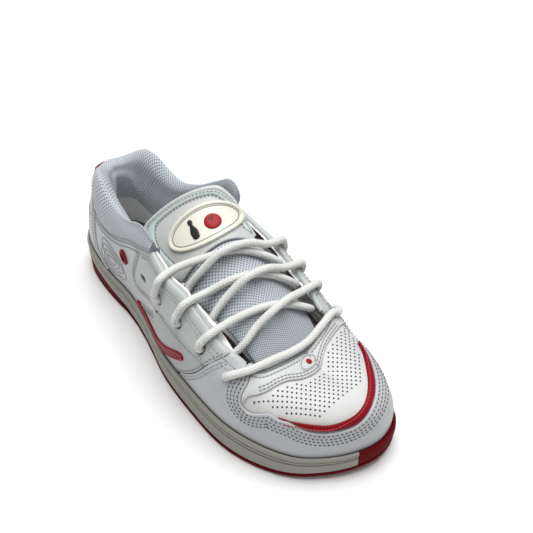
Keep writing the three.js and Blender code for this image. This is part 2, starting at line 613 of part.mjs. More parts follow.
// badge plane: a flat frame touching the flap's face
const BADGE_UV = [0.86, 0.02];
const BADGE_HALF = [26, 13.5];
function badgeFrame() {
  const n = tongueNormal(BADGE_UV[0], BADGE_UV[1]);
  const across = tonguePoint(BADGE_UV[0], 0.4).sub(tonguePoint(BADGE_UV[0], -0.4));
  across.addScaledVector(n, -n.dot(across)).normalize();
  const up = new THREE.Vector3().crossVectors(n, across).normalize();
  const m = new THREE.Matrix4().makeBasis(across, up, n);
  m.setPosition(tonguePoint(BADGE_UV[0], BADGE_UV[1]));
  return m;
}
function badgeToTongue(a, b) {
  const f = badgeFrame();
  const inv = f.clone().invert();
  let [u, v] = BADGE_UV;
  for (let k = 0; k < 14; k++) {
    const p = tonguePoint(u, v).applyMatrix4(inv);
    const pu = tonguePoint(u + 1e-3, v).applyMatrix4(inv).sub(p).multiplyScalar(1e3);
    const pv = tonguePoint(u, v + 1e-3).applyMatrix4(inv).sub(p).multiplyScalar(1e3);
    const det = pu.x * pv.y - pv.x * pu.y;
    const ex = a - p.x;
    const ey = b - p.y;
    u += (ex * pv.y - pv.x * ey) / det;
    v += (pu.x * ey - ex * pu.y) / det;
  }
  return [u, v];
}
function ellipse(a, b, count, cx = 0, cy = 0) {
  const out = [];
  for (let k = 0; k < count; k++) {
    const w = 2 * Math.PI * k / count;
    out.push([cx + a * Math.cos(w), cy + b * Math.sin(w)]);
  }
  return out;
}
// oval plate as a bent grid, lengthwise stations times rows across
function bentOval(a, b, n0, n1) {
  const rows = 16;
  const cols = 4;
  const pts = [];
  const faces = [];
  for (const n of [n0, n1]) {
    for (let i = 0; i <= rows; i++) {
      const x = -a * Math.cos(Math.PI * i / rows);
      const h = b * Math.sin(Math.PI * i / rows);
      for (let j = 0; j <= cols; j++) {
        const [u, v] = badgeToTongue(x, h * (2 * j / cols - 1));
        pts.push(offTongue(u, v, n));
      }
    }
  }
  const w = cols + 1;
  const at = (i, j, upper) => (upper ? (rows + 1) * w : 0) + i * w + j;
  for (let i = 0; i < rows; i++) {
    for (let j = 0; j < cols; j++) {
      faces.push([at(i, j, 1), at(i + 1, j, 1), at(i + 1, j + 1, 1)], [at(i, j, 1), at(i + 1, j + 1, 1),
        at(i, j + 1, 1)]);
      faces.push([at(i, j), at(i + 1, j + 1), at(i + 1, j)], [at(i, j), at(i, j + 1), at(i + 1, j + 1)]);
    }
    faces.push([at(i, 0), at(i + 1, 0, 1), at(i, 0, 1)], [at(i, 0), at(i + 1, 0), at(i + 1, 0, 1)]);
    faces.push([at(i, cols), at(i, cols, 1), at(i + 1, cols, 1)], [at(i, cols), at(i + 1, cols, 1),
      at(i + 1, cols)]);
  }
  return meshFrom(pts, faces);
}
// small mark bent with the flap: a centre, an inner and an outer ring
function bentMark(points, centre, n0, n1) {
  const k = points.length;
  const pts = [];
  const faces = [];
  for (const n of [n0, n1]) {
    for (const share of [0.5, 1]) {
      for (const p of points) {
        const q = [centre[0] + (p[0] - centre[0]) * share, centre[1] + (p[1] - centre[1]) * share];
        pts.push(offTongue(...badgeToTongue(q[0], q[1]), n));
      }
    }
    pts.push(offTongue(...badgeToTongue(centre[0], centre[1]), n));
  }
  const at = (r, j, upper) => (upper ? 2 * k + 1 : 0) + (r === 2 ? 2 * k : r * k + j % k);
  for (let j = 0; j < k; j++) {
    faces.push([at(2, 0, 1), at(0, j, 1), at(0, j + 1, 1)], [at(2, 0), at(0, j + 1), at(0, j)]);
    faces.push([at(0, j, 1), at(1, j, 1), at(1, j + 1, 1)], [at(0, j, 1), at(1, j + 1, 1), at(0, j + 1, 1)]);
    faces.push([at(0, j), at(1, j + 1), at(1, j)], [at(0, j), at(0, j + 1), at(1, j + 1)]);
    faces.push([at(1, j), at(1, j + 1), at(1, j + 1, 1)], [at(1, j), at(1, j + 1, 1), at(1, j, 1)]);
  }
  return meshFrom(pts, faces);
}
const PIN = [[-1.6, -6.5], [1.6, -6.5], [2.5, -3.5], [2.5, -1.2], [1.2, 2], [1, 3], [1.6, 4.6], [1.3, 6],
  [0, 6.7],
  [-1.3, 6], [-1.6, 4.6], [-1, 3], [-1.2, 2], [-2.5, -1.2], [-2.5, -3.5]];

// elastic side strip between the tongue's edge and the eyestay
function gusset(side) {
  const pts = [];
  const faces = [];
  const n = 16;
  for (let i = 0; i <= n; i++) {
    const u = 0.27 + (0.8 - 0.27) * i / n;
    const edge = tonguePoint(u, side);
    const a = new THREE.Vector3(edge.x, edge.y + side * 0.6, edge.z - 2.6);
    const b = offLast(...findXZ(side, edge.x, edgeZ(edge.x) - 15), -12);
    if (side < 0) pts.push(a, b);
    else pts.push(b, a);
    const c = a.clone().add(new THREE.Vector3(0, 0, -1));
    const d = b.clone().add(new THREE.Vector3(0, 0, -1));
    if (side < 0) pts.push(d, c);
    else pts.push(c, d);
  }
  for (let i = 0; i < n; i++) {
    for (let j = 0; j < 4; j++) {
      const a = i * 4 + j;
      const b = i * 4 + (j + 1) % 4;
      faces.push([a, b + 4, b], [a, a + 4, b + 4]);
    }
  }
  faces.push([0, 1, 2], [0, 2, 3]);
  const e = n * 4;
  faces.push([e, e + 2, e + 1], [e, e + 3, e + 2]);
  return meshFrom(pts, faces);
}

// ---------------------------------------------------------------- lace
class Route extends THREE.Curve {
  constructor(points) {
    super();
    this.curve = new THREE.CatmullRomCurve3(points, false, 'centripetal');
  }
  getPoint(t, target) { return this.curve.getPoint(t, target); }
  getPointAt(t, target) { return this.curve.getPoint(t, target); }
  getSpacedPoints(n) {
    const out = [];
    for (let k = 0; k <= n; k++) out.push(this.curve.getPoint(k / n));
    return out;
  }
  getTangentAt(t, target) { return this.getTangent(t, target); }
}
// tongue parameter at a given x of its centre line
function tongueAt(x) {
  let lo = 0;
  let hi = 1;
  for (let k = 0; k < 40; k++) {
    const m = (lo + hi) / 2;
    if (tongueRow(m)[0] > x) lo = m;
    else hi = m;
  }
  return lo;
}
function edgeZ(x) { return through(x, THROAT_EDGE); }
// surface parameters of the point of the vamp over plan position x, y
function findXY(x, y) {
  const side = y < 2 ? -1 : 1;
  let s = side < 0 ? 0.38 : 0.62;
  let t = 0.8;
  for (let k = 0; k < 40; k++) {
    const p = lastPoint(s, t);
    const a = lastPoint(s + 1e-4, t).sub(p).multiplyScalar(1e4);
    const b = lastPoint(s, t + 1e-4).sub(p).multiplyScalar(1e4);
    const det = a.x * b.y - b.x * a.y;
    const ex = x - p.x;
    const ey = y - p.y;
    s += Math.max(-0.03, Math.min(0.03, (ex * b.y - b.x * ey) / det));
    t += Math.max(-0.1, Math.min(0.1, (a.x * ey - ex * a.y) / det));
    t = Math.min(Math.max(t, 0), 0.999);
  }
  return [s, t];
}
function laceRoute() {
  const onPanel = (side, x, z, n) => offLast(...findXZ(side, x, z), n);
  const onTongue = (x, v, n) => offTongue(tongueAt(x), v, n);
  const intoEyelet = (side, x, z) => [onPanel(side, x + 0.5, z + (edgeZ(x) - z) * 0.6, 5), onPanel(side, x,
    z + 3.4, 4.9),
    onPanel(side, x, z + 0.7, 3), onPanel(side, x, z, 0.6), onPanel(side, x, z, -3.4), onPanel(side, x, z,
      -6)];
  // one run: from inside an eyelet, under the eyestay, over the tongue and into the next eyelet opposite
  const run = (from, k) => {
    const to = -from;
    const [x0, z0] = rowsOf(from)[k];
    const [x1, z1] = rowsOf(to)[k + 1];
    const xe = x0 - EMERGE;
    const over = to > 0;
    const px = (share) => xe + (x1 - xe) * share;
    const lift = LACE_R + 0.8;
    const cross = over ? 2 * LACE_R + 0.9 : 0;
    const dip = k === 2 && !over ? 7.2 : 0;
    return [onPanel(from, x0 - 2.2, z0 + 1.4, -8), onPanel(from, (x0 + xe) / 2 - 1,
      (z0 + edgeZ(xe)) / 2 - 1, -8),
      onPanel(from, xe + 0.5, edgeZ(xe) - 5.9, -8.8), onTongue(px(0.05), from * 0.89, lift + 1.1),
      onTongue(px(0.24), from * 0.52, lift + (over ? 2 : 0)), onTongue(px(0.42), from * 0.12, lift + cross),
      onTongue(px(0.6), to * 0.3, lift + cross * 0.9), onTongue(px(0.8), to * 0.72,
        lift + 3 + cross * 0.3 + dip),
      onPanel(to, x1 + 1.5, edgeZ(x1) - 1, 5.4), ...intoEyelet(to, x1, z1)];
  };
  const tail = (side) => {
    const [x, z] = rowsOf(side)[3];
    return [onPanel(side, x - 1, z - 2.5, -8), onPanel(side, x - 3, z - 9, -8), onPanel(side, x - 5,
      z - 16, -8)];
  };
  const half = (first) => {
    const out = [];
    let side = first;
    for (let k = 0; k < 3; k++) {
      out.push(...run(side, k));
      side = -side;
    }
    return [...out, ...tail(side)];
  };
  const barSide = (side) => {
    const [bx, bz] = rowsOf(side)[0];
    return [onPanel(side, bx + 5.5, bz + 2.5, 5), onPanel(side, bx + 2, bz + 1.2, 4.6),
    onPanel(side, bx + 0.4, bz + 0.2, 2.6), onPanel(side, bx, bz, 0.4), onPanel(side, bx, bz, -3.4),
      onPanel(side, bx, bz, -6)];
  };
  const barLine = [[80, -33], [83.5, -20], [85.5, -7], [85.5, 8], [83.5, 21], [80, 33]];
  const across = barLine.map(([x, y]) => offLast(...findXY(x, y), 4.8));
  return [...half(-1).reverse(), ...barSide(-1).reverse(), ...across, ...barSide(1), ...half(1)];
}
function lace() {
  const pts = laceRoute();
  const route = new Route(pts);
  const sides = 6;
  const shape = new THREE.Shape(ellipse(LACE_R, LACE_R, sides).map((p) => new THREE.Vector2(p[0], p[1])));
  const g = new THREE.ExtrudeGeometry(shape, { steps: Math.round((pts.length - 1) * 1.6),
    bevelEnabled: false, extrudePath: route });
  return weld(g);
}

// ---------------------------------------------------------------- materials
const paint = (color, roughness, metalness = 0) => new THREE.MeshStandardMaterial({ color, roughness,
  metalness });
const MAT = {
  leatherGrey: paint(0xa9adb1, 0.42), leatherWhite: paint(0xd9dedc, 0.45), leatherPale: paint(0xcfd6d0, 0.45),
  perforated: paint(0xe4e4e2, 0.5), mesh: paint(0xb9c4cc, 0.85), lining: paint(0x8d959d, 0.9),
  rubberSide: paint(0xa7a598, 0.55), rubberRed: paint(0x7c1218, 0.5), trimRed: paint(0x8e1119, 0.45),
  elastic: paint(0x17110f, 0.8), badge: paint(0xe6e4d4, 0.5), black: paint(0x151212, 0.5),
  lace: paint(0xe2e3dd, 0.85), board: paint(0xb9a98a, 0.9), sock: paint(0xe3e3e3, 0.85),
};

// ---------------------------------------------------------------- assembly
const shoe = new THREE.Group();
function add(name, geometry, material, tolerance = 0.07) {
  const g = geometry.isBufferGeometry ? geometry : geometryOf(geometry, tolerance);
  const mesh = new THREE.Mesh(g, material);
  mesh.name = name;
  shoe.add(mesh);
}
// room the flap needs as it turns
const flapRoom = solid(tonguePatch(FLAP_U - 0.01, 1.03, 10, -1.05, 1.05, 8, -8.4, 0.8));
const turned = (m, deg) => {
  const at = new THREE.Vector3(...HINGE_AT);
  const turn = new THREE.Matrix4().makeRotationAxis(new THREE.Vector3(...HINGE_AXIS).normalize(),
    deg * Math.PI / 180);
  const matrix = new THREE.Matrix4().makeTranslation(at).multiply(turn);
  return m.transform(matrix.multiply(new THREE.Matrix4().makeTranslation(at.negate())).elements);
};
const swept = [4, 8, 12, 16, 22, 28, 36].reduce((m, deg) => m.add(turned(flapRoom, deg)), flapRoom);
const open = opening();
const linings = dome(LINING).subtract(open);
const bases = dome(BASE).subtract(open);
const overlays = dome(OVERLAY).subtract(open);
const trims = dome(TRIM).subtract(open);
const holes = {};
for (const [name, side] of [['lateral', -1], ['medial', 1]]) {
  holes[name] = [...ROWS[name].map((r) => bore(side, r, EYELET_R, 16)), slotBore(side), bore(side, RING,
    2.6, 16)];
}
const allHoles = [...holes.lateral, ...holes.medial];

// sole unit
add('outsole', outsole(), MAT.rubberRed);
add('heel_wedge', heelWedge(), MAT.rubberRed);
const cup = cupBlank();
add('sidewall_cup', cup.subtract(prismXY(bumperPlan(GAP), -5, 60)), MAT.rubberSide);
add('toe_bumper', cup.intersect(prismXY(bumperPlan(0), -5, 60)), MAT.rubberRed);
add('insole_board', slab(7.9, GAP, 2.1), MAT.board);
add('sockliner', slab(8.2, 2.4, 6), MAT.sock);

// lining and base layer
const rear = [[-200, 10], [BASE_SPLIT_X - 0.2, 10], [BASE_SPLIT_X - 0.2, 150], [-200, 150]];
const front = [[200, 10], [200, 150], [BASE_SPLIT_X + 0.2, 150], [BASE_SPLIT_X + 0.2, 10]];
add('quarter_lining', panelXZ(linings, rear, BOTH, [...allHoles, swept]), MAT.lining, 0.14);
add('vamp_lining', panelXZ(linings, front, BOTH, allHoles), MAT.lining, 0.14);
add('vamp', panelXZ(bases, front, BOTH, allHoles), MAT.perforated, 0.1);
for (const name of ['lateral', 'medial']) {
  add(`quarter_${name}`, panelXZ(bases, rear, HALF[name], holes[name]), MAT.leatherWhite, 0.1);
}

// overlays
const pipe = shifted(PIPING, -0.2);
const heelArea = [[-200, 19], ...pipe, [-200, 95]];
const low = [[-200, 10], [200, 10], [200, BAND_SPLIT_Z - 0.4], [-200, BAND_SPLIT_Z - 0.4]];
const heel = overlays.intersect(prismXZ(heelArea, -95, 95));
const lowPrism = prismXZ(low, -95, 95);
const band = [[-200, BAND_SPLIT_Z], [200, BAND_SPLIT_Z], [200, BAND_TOP_Z], [-200, BAND_TOP_Z]];
add('heel_counter', heel.intersect(lowPrism), MAT.leatherGrey);
add('heel_band', heel.intersect(prismXZ(band, -95, 95)), MAT.leatherGrey);
for (const [name, side] of [['lateral', -1], ['medial', 1]]) {
  const r = HALF[name];
  const ankle = [...shifted(PIPING, 0.2).reverse(), ...shifted(SIDE_REAR, -0.2),
    ...shifted([...EYESTAY_REAR, [0, 64.3]], 0.2).reverse()];
  add(`ankle_panel_${name}`, panelXZ(overlays, ankle, r, holes[name]), MAT.leatherGrey);
  const eyestay = [...shifted([...EYESTAY_REAR, ...EYESTAY_LOWER], -0.2), ...shifted(CAP_REAR.slice(0,
    4).reverse(), -0.2),
    [66, 110], [-30, 130]];
  add(`eyestay_${name}`, panelXZ(overlays, eyestay, r, holes[name]), MAT.leatherPale);
  const sidePanel = [...shifted(SIDE_REAR, 0.2), [0, 60.5], ...shifted(EYESTAY_LOWER, 0.2),
    ...shifted(CAP_REAR.slice(3), 0.2)];
  add(`side_panel_${name}`, panelXZ(overlays, sidePanel, r, holes[name]), MAT.leatherWhite);
  add(`side_stripe_${name}`, trims.intersect(prismXZ(SIDE_STRIPE, r[0], r[1])), MAT.trimRed);
  const pipeLine = PIPING.slice(1, -1);
  add(`heel_piping_${name}`, trims.intersect(prismXZ([...shifted(pipeLine, 1.6), ...shifted(pipeLine,
    -0.2).reverse()],
    r[0], r[1])), MAT.leatherWhite);
  add(`ankle_ring_${name}`, surfaceRing(side, RING, 2.9, 5.6, 2.1, 3.6), MAT.trimRed);
}
const patchLow = prismXY(PATCH, PATCH_TIP_Z, 120);
const patchFront = prismXY(PATCH.filter((p) => p[0] > 99), 30, 120);
const patch = patchLow.add(patchFront);
const capRegion = [...shifted(CAP_REAR, -0.25), [200, 19], [200, 120], [66, 120]];
add('toe_cap', panelXZ(overlays, capRegion, BOTH, [...allHoles, patch]), MAT.leatherGrey);
const inPatch = prismXY(ringPolygon(PATCH, -0.35), PATCH_TIP_Z + 0.4, 120)
  .add(prismXY(ringPolygon(PATCH.filter((p) => p[0] > 99), -0.35), 30, 120));
const yoke = [[76, -40], [81, -46], ...OVERLAY_EDGE, [80, 44], [74, 38], [74, -38]];
add('vamp_yoke', overlays.intersect(inPatch).intersect(prismXY(yoke, 30, 120)), MAT.leatherWhite);
const arcOuter = PATCH.filter((p) => p[0] > 106 || (p[0] > 98 && p[1] > 0)).map((p) => [p[0] + 3,
  p[1] + Math.sign(p[1]) * 3]);
add('toe_stripe', overlays.intersect(inPatch).intersect(prismXY([...arcOuter,
  ...ARC_INNER.slice().reverse()], 25, 120)),
  MAT.trimRed);

// collar and heel tab
const below = COLLAR_SEAM.map((p) => [p[0], p[1] + GAP]);
const shell = dome([-3.35, 3.4]).intersect(prismXZ([[-170, 0], ...below, [20, 97.3], [20, 0]], -95, 95));
add('collar', largest(solid(collar()).subtract(shell).subtract(swept)), MAT.mesh, 0.15);
add('heel_tab', heelTab(), MAT.trimRed);

// tongue
add('tongue_lower', tonguePatch(0.02, FLAP_U - 0.006, 18, -1, 1, 8, -4.5, 0), MAT.mesh);
const corner = (f) => 0.93 + 0.07 * Math.min(1, f / 0.3) - 0.16 * Math.max(0, (f - 0.7) / 0.3) ** 2;
add('tongue_flap_panel', tonguePatch(FLAP_U, 0.985, 9, -1, 1, 10, -1.2, 0, corner), MAT.leatherWhite);
add('tongue_flap_pad', tonguePatch(FLAP_U, 0.985, 7, -0.985, 0.985, 8, -6, -1.6, corner), MAT.mesh);
add('tongue_flap_lining', tonguePatch(FLAP_U, 0.985, 6, -0.97, 0.97, 8, -7.6, -6.6, corner), MAT.lining);
add('tongue_binding', tonguePatch(0.99, 1.012, 2, -0.83, 0.83, 12, -7.6, 0.2), MAT.leatherWhite);
add('gusset_lateral', gusset(-1), MAT.elastic);
add('gusset_medial', gusset(1), MAT.elastic);

// badge on the flap: oval plate, raised rim, pin and ball marks
add('badge_plate', bentOval(BADGE_HALF[0], BADGE_HALF[1], 0.45, 2), MAT.badge);
add('badge_pin', bentMark(PIN.map((p) => [p[0] - 7, p[1]]), [-7, 2], 2.4, 3.1), MAT.black);
add('badge_ball', bentMark(ellipse(5.4, 5.4, 20, 6, -1), [6, -1], 2.4, 3.1), MAT.trimRed);

add('lace', lace(), MAT.lace);

export default shoe;
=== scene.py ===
"""Bowling shoe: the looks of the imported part, built on the same last surface as its solids."""
import math

import bpy
import numpy as np
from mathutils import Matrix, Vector
from mathutils.geometry import delaunay_2d_cdt


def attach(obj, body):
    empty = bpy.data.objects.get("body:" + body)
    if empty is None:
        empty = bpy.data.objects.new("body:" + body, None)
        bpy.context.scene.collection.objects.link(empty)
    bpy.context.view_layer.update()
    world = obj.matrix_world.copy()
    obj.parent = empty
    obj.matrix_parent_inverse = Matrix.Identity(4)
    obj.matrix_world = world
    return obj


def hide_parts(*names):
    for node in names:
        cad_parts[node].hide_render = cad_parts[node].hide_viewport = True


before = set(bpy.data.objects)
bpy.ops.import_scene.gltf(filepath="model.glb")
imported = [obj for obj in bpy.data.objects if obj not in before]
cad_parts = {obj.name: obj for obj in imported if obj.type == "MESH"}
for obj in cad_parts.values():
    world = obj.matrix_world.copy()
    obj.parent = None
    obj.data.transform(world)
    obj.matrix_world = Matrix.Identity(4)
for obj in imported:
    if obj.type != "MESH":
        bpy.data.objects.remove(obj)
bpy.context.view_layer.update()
MM = 0.001

# ---------------------------------------------------------------- camera
TARGET = np.array([-1.05, 53.51, 40.0])
AZIMUTH, ELEVATION, DISTANCE = 47.36, 42.0, 520.0
SENSOR, LENS = 36, 47.43


def place_at(name, data, place, target):
    """Object at place, in metres, looking at target."""
    o = bpy.data.objects.new(name, data)
    o.location = place
    o.rotation_euler = (Vector(target) - Vector(place)).to_track_quat("-Z", "Y").to_euler()
    bpy.context.scene.collection.objects.link(o)
    return o


def make_camera():
    az, el = math.radians(AZIMUTH), math.radians(ELEVATION)
    away = np.array([math.sin(az) * math.cos(el), -math.cos(az) * math.cos(el), math.sin(el)])
    data = bpy.data.cameras.new("camera")
    data.sensor_width = SENSOR
    data.lens = LENS
    bpy.context.scene.camera = place_at("camera", data, (TARGET + DISTANCE * away) * MM, TARGET * MM)


make_camera()

# ---------------------------------------------------------------- driving dimensions, mm
# plan of the sole: x, lateral y, medial y
PLAN = [[-150, 3.5, 3.5], [-148, -5.2, 12], [-142, -13.5, 20.5], [-130, -22, 30], [-112, -27, 36.5],
        [-88, -30, 38.9], [-60, -31.7, 38.6], [-30, -38.3, 40], [5, -48.6, 44], [40, -53.5, 49],
        [72, -55, 50.7], [98, -49.5, 48.4], [120, -38.5, 44], [136, -22, 37], [146, -5, 28], [150, 12, 12]]
SIDE_TOP = [[-150, 30], [-110, 27], [-60, 25], [-20, 25], [20, 26], [60, 26], [100, 23.5], [130, 21],
            [150, 22]]
WEDGE_TOP = [[-150, 15], [-130, 14], [-105, 10.5], [-80, 7], [-62, 4.8], [-50, 4.8]]
FEATHER_INSET = 4
FOOT_T = 0.004     # t at which the toe and heel panels end, at the sole
SPLIT_S = 0.0004   # half of the open seam between neighbours, in s
OUTSOLE = 3.2
GAP = 0.3
WEDGE_FRONT = -62
RIDGE_X = [[-150, -97], [-110, -84], [-60, -52], [0, -4], [60, 46], [100, 80], [130, 96], [150, 104]]
RIDGE_Z = [[-112, 166], [-95, 160], [-60, 144], [-10, 117], [30, 92], [65, 70], [90, 58], [104, 52]]
RIDGE_Y = [[-108, 5], [-40, 3], [20, 0], [60, 1], [104, 5]]
WALL_H = [[[-150, 0.14], [-100, 0], [-40, -0.02], [10, -0.03], [65, 0], [110, 0.02], [150, 0.02]],
          [[-150, 0.42], [-100, 0.12], [-40, 0.03], [10, 0.04], [65, 0.1], [110, 0.12], [150, 0.13]],
          [[-150, 0.74], [-100, 0.38], [-40, 0.26], [10, 0.31], [65, 0.42], [110, 0.44], [150, 0.46]]]
WALL_W = [[[-150, 0.2], [-100, 0.2], [-40, 0.24], [10, 0.3], [65, 0.38], [110, 0.42], [150, 0.42]],
          [[-150, 0.44], [-100, 0.44], [-40, 0.55], [10, 0.62], [65, 0.7], [110, 0.76], [150, 0.76]],
          [[-150, 0.74], [-100, 0.76], [-40, 0.85], [10, 0.88], [65, 0.93], [110, 0.95], [150, 0.95]]]
MEDIAL_FULL = [[-110, 0], [-60, 0.5], [-20, 1], [10, 1], [50, 0.4], [80, 0], [150, 0]]
OVERLAY = (0.15, 1.5)
TRIM = (1.8, 2.7)
COLLAR_SEAM = [[-170, 90], [-113, 90], [-108, 86], [-105.5, 77], [-103, 71.5], [-98, 68.5], [-85, 67],
               [-68, 70], [-45, 82], [-23, 92.5], [-13, 97]]
THROAT_EDGE = [[-13, 97], [0, 93], [10, 90], [21, 88], [36, 81.5], [56, 73], [72, 67], [80, 63.5]]
PIPING = [[-91, 20], [-92, 26.5], [-101, 30], [-106, 37], [-108, 48], [-108, 57], [-107.5, 70],
          [-107.5, 95]]
EYESTAY_REAR = [[-30, 96], [-34, 82], [-41, 69], [-46, 58], [-45, 50], [-36, 47.5], [-19, 56], [-5, 63.5]]
EYESTAY_LOWER = [[5, 65], [13, 65], [24, 63], [34, 62], [42, 61], [50, 60.6], [55, 59]]
SIDE_REAR = [[-45, 19], [-45, 28], [-34, 37], [-23, 44], [-5, 56.5]]
CAP_REAR = [[66, 74], [65, 69], [62, 66], [58, 62], [51, 52], [45, 45], [40, 40], [33, 33], [26, 27],
            [22, 19]]
BAND_SPLIT_Z = 62
PATCH = [[77, -30], [81, -35], [83.5, -39], [84, -43], [85.5, -46], [91, -45.4], [97, -42.5], [102, -39],
         [107, -37], [112, -34], [119, -30], [125, -25], [131, -18], [136, -10], [139, -2], [139, 6],
         [136, 14], [131, 21], [124, 27.5], [116, 33], [108, 37.3], [100, 40.5], [93, 42.5], [87, 42.5],
         [83, 40], [80, 35], [76, 30]]
OVERLAY_EDGE = [[85, -46], [88, -42], [92, -37.5], [94.5, -32], [95.5, -27], [97.5, -20], [101, -13],
                [102.5, -7], [102.5, -1], [100.5, 5.5], [97, 11], [94, 17], [91.5, 25], [89, 33], [86, 40]]
ARC_INNER = [[110, -35.3], [117, -30], [124, -23.5], [129.8, -16.5], [133.6, -9], [135.6, -1], [134.6, 7],
             [131, 14], [126, 20], [119, 26.2], [110, 33], [103, 36.6]]
THROAT_FRONT = [[76, -34.5], [80, -33], [85, -28], [88, -15], [88.6, 0], [87, 13], [83, 25], [77, 33]]
SIDE_STRIPE = [[-43.5, 32], [-30, 33.4], [-15, 34], [-3, 35.4], [6, 38.6], [14, 43], [22, 47.6], [31, 52.6],
               [34.6, 53.2], [36.3, 50.6], [34.8, 47.8], [27, 42.2], [19, 36.8], [11, 31.6], [2, 28.6],
               [-15, 27], [-30, 27], [-43.5, 27.5]]
ROWS = {-1: [[71, 60], [49, 67], [27, 72], [5, 75]], 1: [[75, 58], [58, 64], [42, 69.5], [24, 74]]}
SLOT = [-22, 71]
RING = [-58, 62]
EYELET_R = 3.4
PUNCH_PITCH = 3.9
PUNCH_MARGIN = 2.4
LACE_R = 2.5
EMERGE = 7
TONGUE = [[91, 50.5, 22, 2], [86, 53.2, 23, 3], [80, 59.5, 24, 5], [72, 68, 25.5, 8], [62, 77, 26.5, 11],
          [48, 87, 27.5, 15], [30, 95, 28.5, 18], [10, 102, 28.5, 19], [-8, 108.5, 28, 18],
          [-27, 115, 26, 11.5]]
FLAP_U = 0.765
FLAP_SKEW = [19, 18]
BADGE_UV = (0.86, 0.02)
BADGE_HALF = (26.0, 13.5)
COLLAR_TOP = [[-124, 97], [-118, 99.5], [-110, 104], [-103, 106], [-97, 104.5], [-85, 97], [-68, 92.5],
              [-50, 98], [-32, 109], [-16, 118], [-8, 119]]
COLLAR_LOW = [[-130, 86.5], [-113, 84], [-106, 75], [-98, 69.3], [-85, 67.6], [-68, 70.6], [-45, 82.6],
              [-23, 93], [-12, 97.6]]
COLLAR_THICK = [[-124, 12], [-100, 14], [-72, 11.5], [-56, 7], [-44, 4.6], [-30, 3.8], [-8, 3.4]]
TOE_BUMPER = (0.466, 0.562)
TAB_Z = (73, 91)
TAB_SIDES = (0.056, -0.03)
TAB_LAYER = (2.7, 3.9)
TAB_LIFT = 0.9
BAR_LINE = [[80, -33], [83.5, -20], [85.5, -7], [85.5, 8], [83.5, 21], [80, 33]]
BRAID_STEP = 0.55
SIDES = ((-1, "lateral"), (1, "medial"))


# ---------------------------------------------------------------- curves
def through(x, knots):
    """Smooth curve through [x, value] knots, held level outside them."""
    k = np.array(knots, float)
    n = len(k)
    gaps = np.diff(k[:, 0])
    d = np.diff(k[:, 1]) / gaps
    slope = np.empty(n)
    slope[0], slope[-1] = d[0], d[-1]
    slope[1:-1] = (d[:-1] * gaps[1:] + d[1:] * gaps[:-1]) / (gaps[1:] + gaps[:-1])
    v = np.clip(np.asarray(x, float), k[0, 0], k[-1, 0])
    i = np.clip(np.searchsorted(k[:, 0], v, side="right") - 1, 0, n - 2)
    h = gaps[i]
    t = (v - k[i, 0]) / h
    t2, t3 = t * t, t * t * t
    return ((2 * t3 - 3 * t2 + 1) * k[i, 1] + (t3 - 2 * t2 + t) * h * slope[i]
            + (3 * t2 - 2 * t3) * k[i + 1, 1] + (t3 - t2) * h * slope[i + 1])


def catmull(a, b, c, d, f):
    """Catmull-Rom point, f of the way from b to c."""
    return 0.5 * (2 * b + (c - a) * f + (2 * a - 5 * b + 4 * c - d) * f ** 2
                  + (3 * b - a - 3 * c + d) * f ** 3)


def bisect(is_low, lo, hi, steps):
    """Upper end of the stretch for which is_low holds, found by halving."""
    for _ in range(steps):
        mid = (lo + hi) / 2
        low = is_low(mid)
        lo, hi = np.where(low, mid, lo), np.where(low, hi, mid)
    return lo


def run_of(p):
    """Distance along a line at each of its points."""
    return np.append(0, np.cumsum(np.linalg.norm(np.diff(p, axis=0), axis=1)))


def at_run(at, run, values):
    """Values along a line, taken at other distances."""
    return np.stack([np.interp(at, run, values[:, k]) for k in range(values.shape[1])], -1)


def angles(count):
    return 2 * np.pi * np.arange(count) / count


LOOP = np.array([[a, b] for a, b, c in PLAN] + [[a, c] for a, b, c in PLAN[-2:0:-1]], float)


def loop_at(s):
    n = len(LOOP)
    u = (np.asarray(s, float) % 1.0) * n
    i = np.floor(u).astype(int)
    f = (u - i)[..., None]
    a, b, c, d = (LOOP[(i + k) % n] for k in (-1, 0, 1, 2))
    return catmull(a, b, c, d, f)


def outline(s, inset=0.0):
    """Sole outline at s, moved inwards by inset."""
    s = np.asarray(s, float)
    d = loop_at(s + 0.002) - loop_at(s - 0.002)
    d /= np.linalg.norm(d, axis=-1, keepdims=True)
    return loop_at(s) + np.stack([-d[..., 1], d[..., 0]], -1) * np.asarray(inset, float)[..., None]


def bottom_z(x):
    x = np.asarray(x, float)
    return np.where(x > 85, 6 * ((x - 85) / 65) ** 2, 0) + np.where(x < -125, 3 * ((x + 125) / 25) ** 2, 0)


def side_top(x):
    return through(x, SIDE_TOP)


